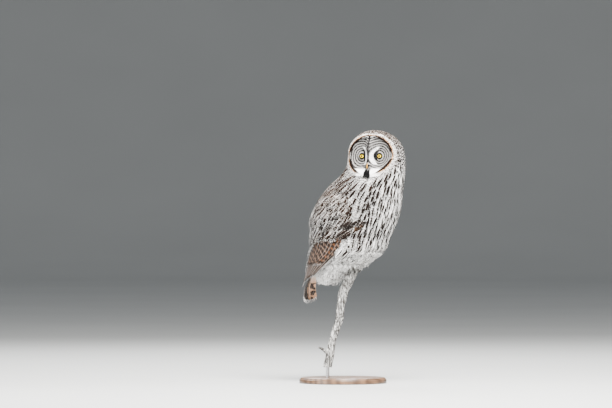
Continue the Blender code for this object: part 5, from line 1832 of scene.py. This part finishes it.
def make_perch(bark):
    rows = 260
    heights = np.linspace(PERCH_PATH[0][1], PERCH_PATH[-1][1], rows)
    rows_by_height = tuple((height, along, radius) for along, height, radius in PERCH_PATH)
    along, radius = look_up(rows_by_height, heights)
    path = np.array([perch_point(a, h) for a, h in zip(along, heights)])
    sides = 120
    rings = np.array(tube(path, radius, sides))
    rings[-1][:, 2] = PERCH_PATH[-1][1]
    out = unit(rings - path[:, None])
    turn = np.arange(sides) * 2 * math.pi / sides
    k = np.linspace(0, 21, rows)[:, None]
    q = (turn / (2 * math.pi) * 12)[None]
    swell = 0.05 * np.sin(1.7 * k + 1.3 * q) + 0.04 * np.sin(0.9 * k - 2.1 * q)
    rough = 0.0011 * ripple(rings, 170.0, 3) + 0.0007 * ripple(rings * (1, 1, 0.35), 520.0, 5)
    lines = np.abs(ripple(rings * (1, 1, 0.10), 330.0, 8)) + 0.35 * np.abs(ripple(rings, 120.0, 9))
    crack = 1 - step(lines, 0.02, 0.12)
    size = radius[:, None] * swell * 0.8 + rough - 0.0019 * crack
    fade = np.clip(np.minimum(k / 0.6, (21 - k) / 0.4), 0, 1)
    rings = rings + out * (size * fade)[..., None]
    # the sawn, weathered top is closed by a flat fan
    points, faces = closed_loft(list(rings))
    obj = make_object("branch", points, faces, bark)
    # the crack attribute marks where the mesh is sunk into cracks, and the bark material darkens these
    # almost to black as painted shade
    layer = obj.data.attributes.new("crack", "FLOAT", "POINT")
    values = np.concatenate(((crack * fade).ravel(), (0, 0)))
    layer.data.foreach_set("value", values.astype(np.float32))
    finish_piece(obj, bark, replaces=("perch",))
    root, tip = perch_point(-0.0520, 0.1020), perch_point(-0.0850, 0.1245)
    t = np.linspace(0, 1, 40)
    twig = root + (tip - root) * t[:, None] + UP * (0.003 * np.sin(math.pi * t))[:, None]
    radii = np.interp(t, (0, 0.35, 0.7, 1), (0.0075, 0.0046, 0.0038, 0.0028))
    bumps = [1 + 0.08 * np.sin(np.arange(28) * 0.9 + 4 * s) + 0.06 * np.sin(23 * s) for s in t]
    points, faces = closed_loft(tube(twig, radii, 28, bumps))
    obj = make_object("branch_twig", points, faces, bark)
    finish_piece(obj, bark, replaces=("perch",))


def make_stand(walnut, steel):
    turn = np.arange(160) * 2 * math.pi / 160
    profile = (
        (0.1470, 0.0000), (0.1490, 0.0006), (0.1500, 0.0022), (0.1500, 0.0120), (0.1494, 0.0134),
        (0.1478, 0.0140), (0.1470, 0.0146), (0.1466, 0.0160), (0.1458, 0.0180), (0.1440, 0.0193),
        (0.1415, 0.0200),
        (0.1000, 0.0200), (0.0500, 0.0200),
    )
    rings = [np.stack((r * np.cos(turn), r * np.sin(turn), np.full(160, z)), axis=-1) for r, z in profile]
    points, faces = closed_loft(rings)
    obj = make_object("plinth", points, faces, walnut)
    finish_piece(obj, walnut, smooth_angle=30, replaces=("stand_base",))
    foot = perch_point(*PERCH_PATH[-1][:2])
    turn = np.arange(48) * 2 * math.pi / 48
    profile = ((0.0060, 0.0203), (0.0060, 0.0230), (0.0060, 0.0400), (0.0060, 0.0557))
    rings = [
        np.stack((foot[0] + r * np.cos(turn), foot[1] + r * np.sin(turn), np.full(48, z)), axis=-1)
        for r, z in profile
    ]
    points, faces = closed_loft(rings)
    obj = make_object("post", points, faces, steel)
    finish_piece(obj, steel, smooth_angle=30, replaces=("stand_rod",))


# Studio

def make_stage(floor):
    """A wide pale floor that sweeps up all round, well behind the camera."""
    turn = np.arange(FLOOR_SIDES) * 2 * math.pi / FLOOR_SIDES
    profile = [(0.5, 0.0), (4.0, 0.0), (FLOOR_FLAT, 0.0)]
    for a in np.linspace(0.1, math.pi / 2, 12):
        profile.append((FLOOR_FLAT + FLOOR_BEND * math.sin(a), FLOOR_BEND - FLOOR_BEND * math.cos(a)))
    profile.append((FLOOR_FLAT + FLOOR_BEND, 2 * FLOOR_BEND))
    count = FLOOR_SIDES
    rings = [np.stack((r * np.cos(turn), r * np.sin(turn), np.full(count, z)), axis=-1) for r, z in profile]
    points = np.concatenate(rings + [np.zeros((1, 3))])
    faces = [tuple(f) for f in grid_faces(len(rings), count, wrap=True)]
    faces += [((i + 1) % count, i, len(rings) * count) for i in range(count)]
    obj = make_object("floor", points, faces, floor)


def make_light(name, energy, size, place, aim, colour):
    data = bpy.data.lights.new(name, "AREA")
    data.energy = energy
    data.size = size
    data.color = colour
    obj = bpy.data.objects.new(name, data)
    bpy.context.scene.collection.objects.link(obj)
    obj.location = place
    obj.rotation_euler = (Vector(aim) - Vector(place)).to_track_quat("-Z", "Y").to_euler()


def make_camera():
    data = bpy.data.cameras.new("camera")
    data.lens = CAMERA_LENS
    data.sensor_width = CAMERA_SENSOR
    data.clip_start = 0.1
    data.clip_end = 100.0
    camera = bpy.data.objects.new("camera", data)
    bpy.context.scene.collection.objects.link(camera)
    aim = Vector(VIEW_RIGHT * CAMERA_AIM_RIGHT) + Vector((0, 0, CAMERA_AIM_HEIGHT))
    camera.location = aim + Vector(VIEW_NEAR) * CAMERA_DISTANCE
    camera.rotation_euler = (aim - camera.location).to_track_quat("-Z", "Y").to_euler()
    bpy.context.scene.camera = camera


def make_world():
    world = bpy.data.worlds.new("studio")
    world.use_nodes = True
    background = world.node_tree.nodes["Background"]
    background.inputs["Color"].default_value = SKY_COLOUR
    background.inputs["Strength"].default_value = SKY_STRENGTH
    bpy.context.scene.world = world


def make_lights():
    near, right = Vector(VIEW_NEAR), Vector(VIEW_RIGHT)
    aim = Vector((0, 0, LIGHT_AIM_HEIGHT))
    for name, watts, towards, aside, up, colour in LIGHTS:
        place = aim + near * towards + right * aside + Vector((0, 0, up))
        make_light(name, watts, LIGHT_SIZE, place, aim, colour)


def main():
    make_camera()
    make_world()
    make_lights()

    plumage = plumage_material("owl_plumage")
    flight = flight_material("owl_quills")
    face = face_material("owl_face")
    make_stage(floor_material("studio_floor"))
    make_skin(skin_material("owl_down"))
    make_body_coat(plumage)
    make_belly_coat(plumage)
    make_head_coat(plumage)
    make_face_coat(face)
    make_ruff(face)
    make_beard(face)
    make_wings(flight, plumage)
    make_tail(flight)
    make_tail_coverts(plumage)
    make_leg_coat(plumage)
    make_eyes(eye_material("owl_iris"), lid_material("owl_lid"))
    make_bill(horn_material("owl_bill", (0.46, 0.235, 0.010), (0.28, 0.12, 0.006), 0.34))
    make_claws(horn_material("owl_claw", (0.020, 0.018, 0.017), (0.060, 0.052, 0.045), 0.28))
    make_perch(bark_material("branch_bark"))
    make_stand(walnut_material("plinth_wood"), steel_material("post_steel"))


main()
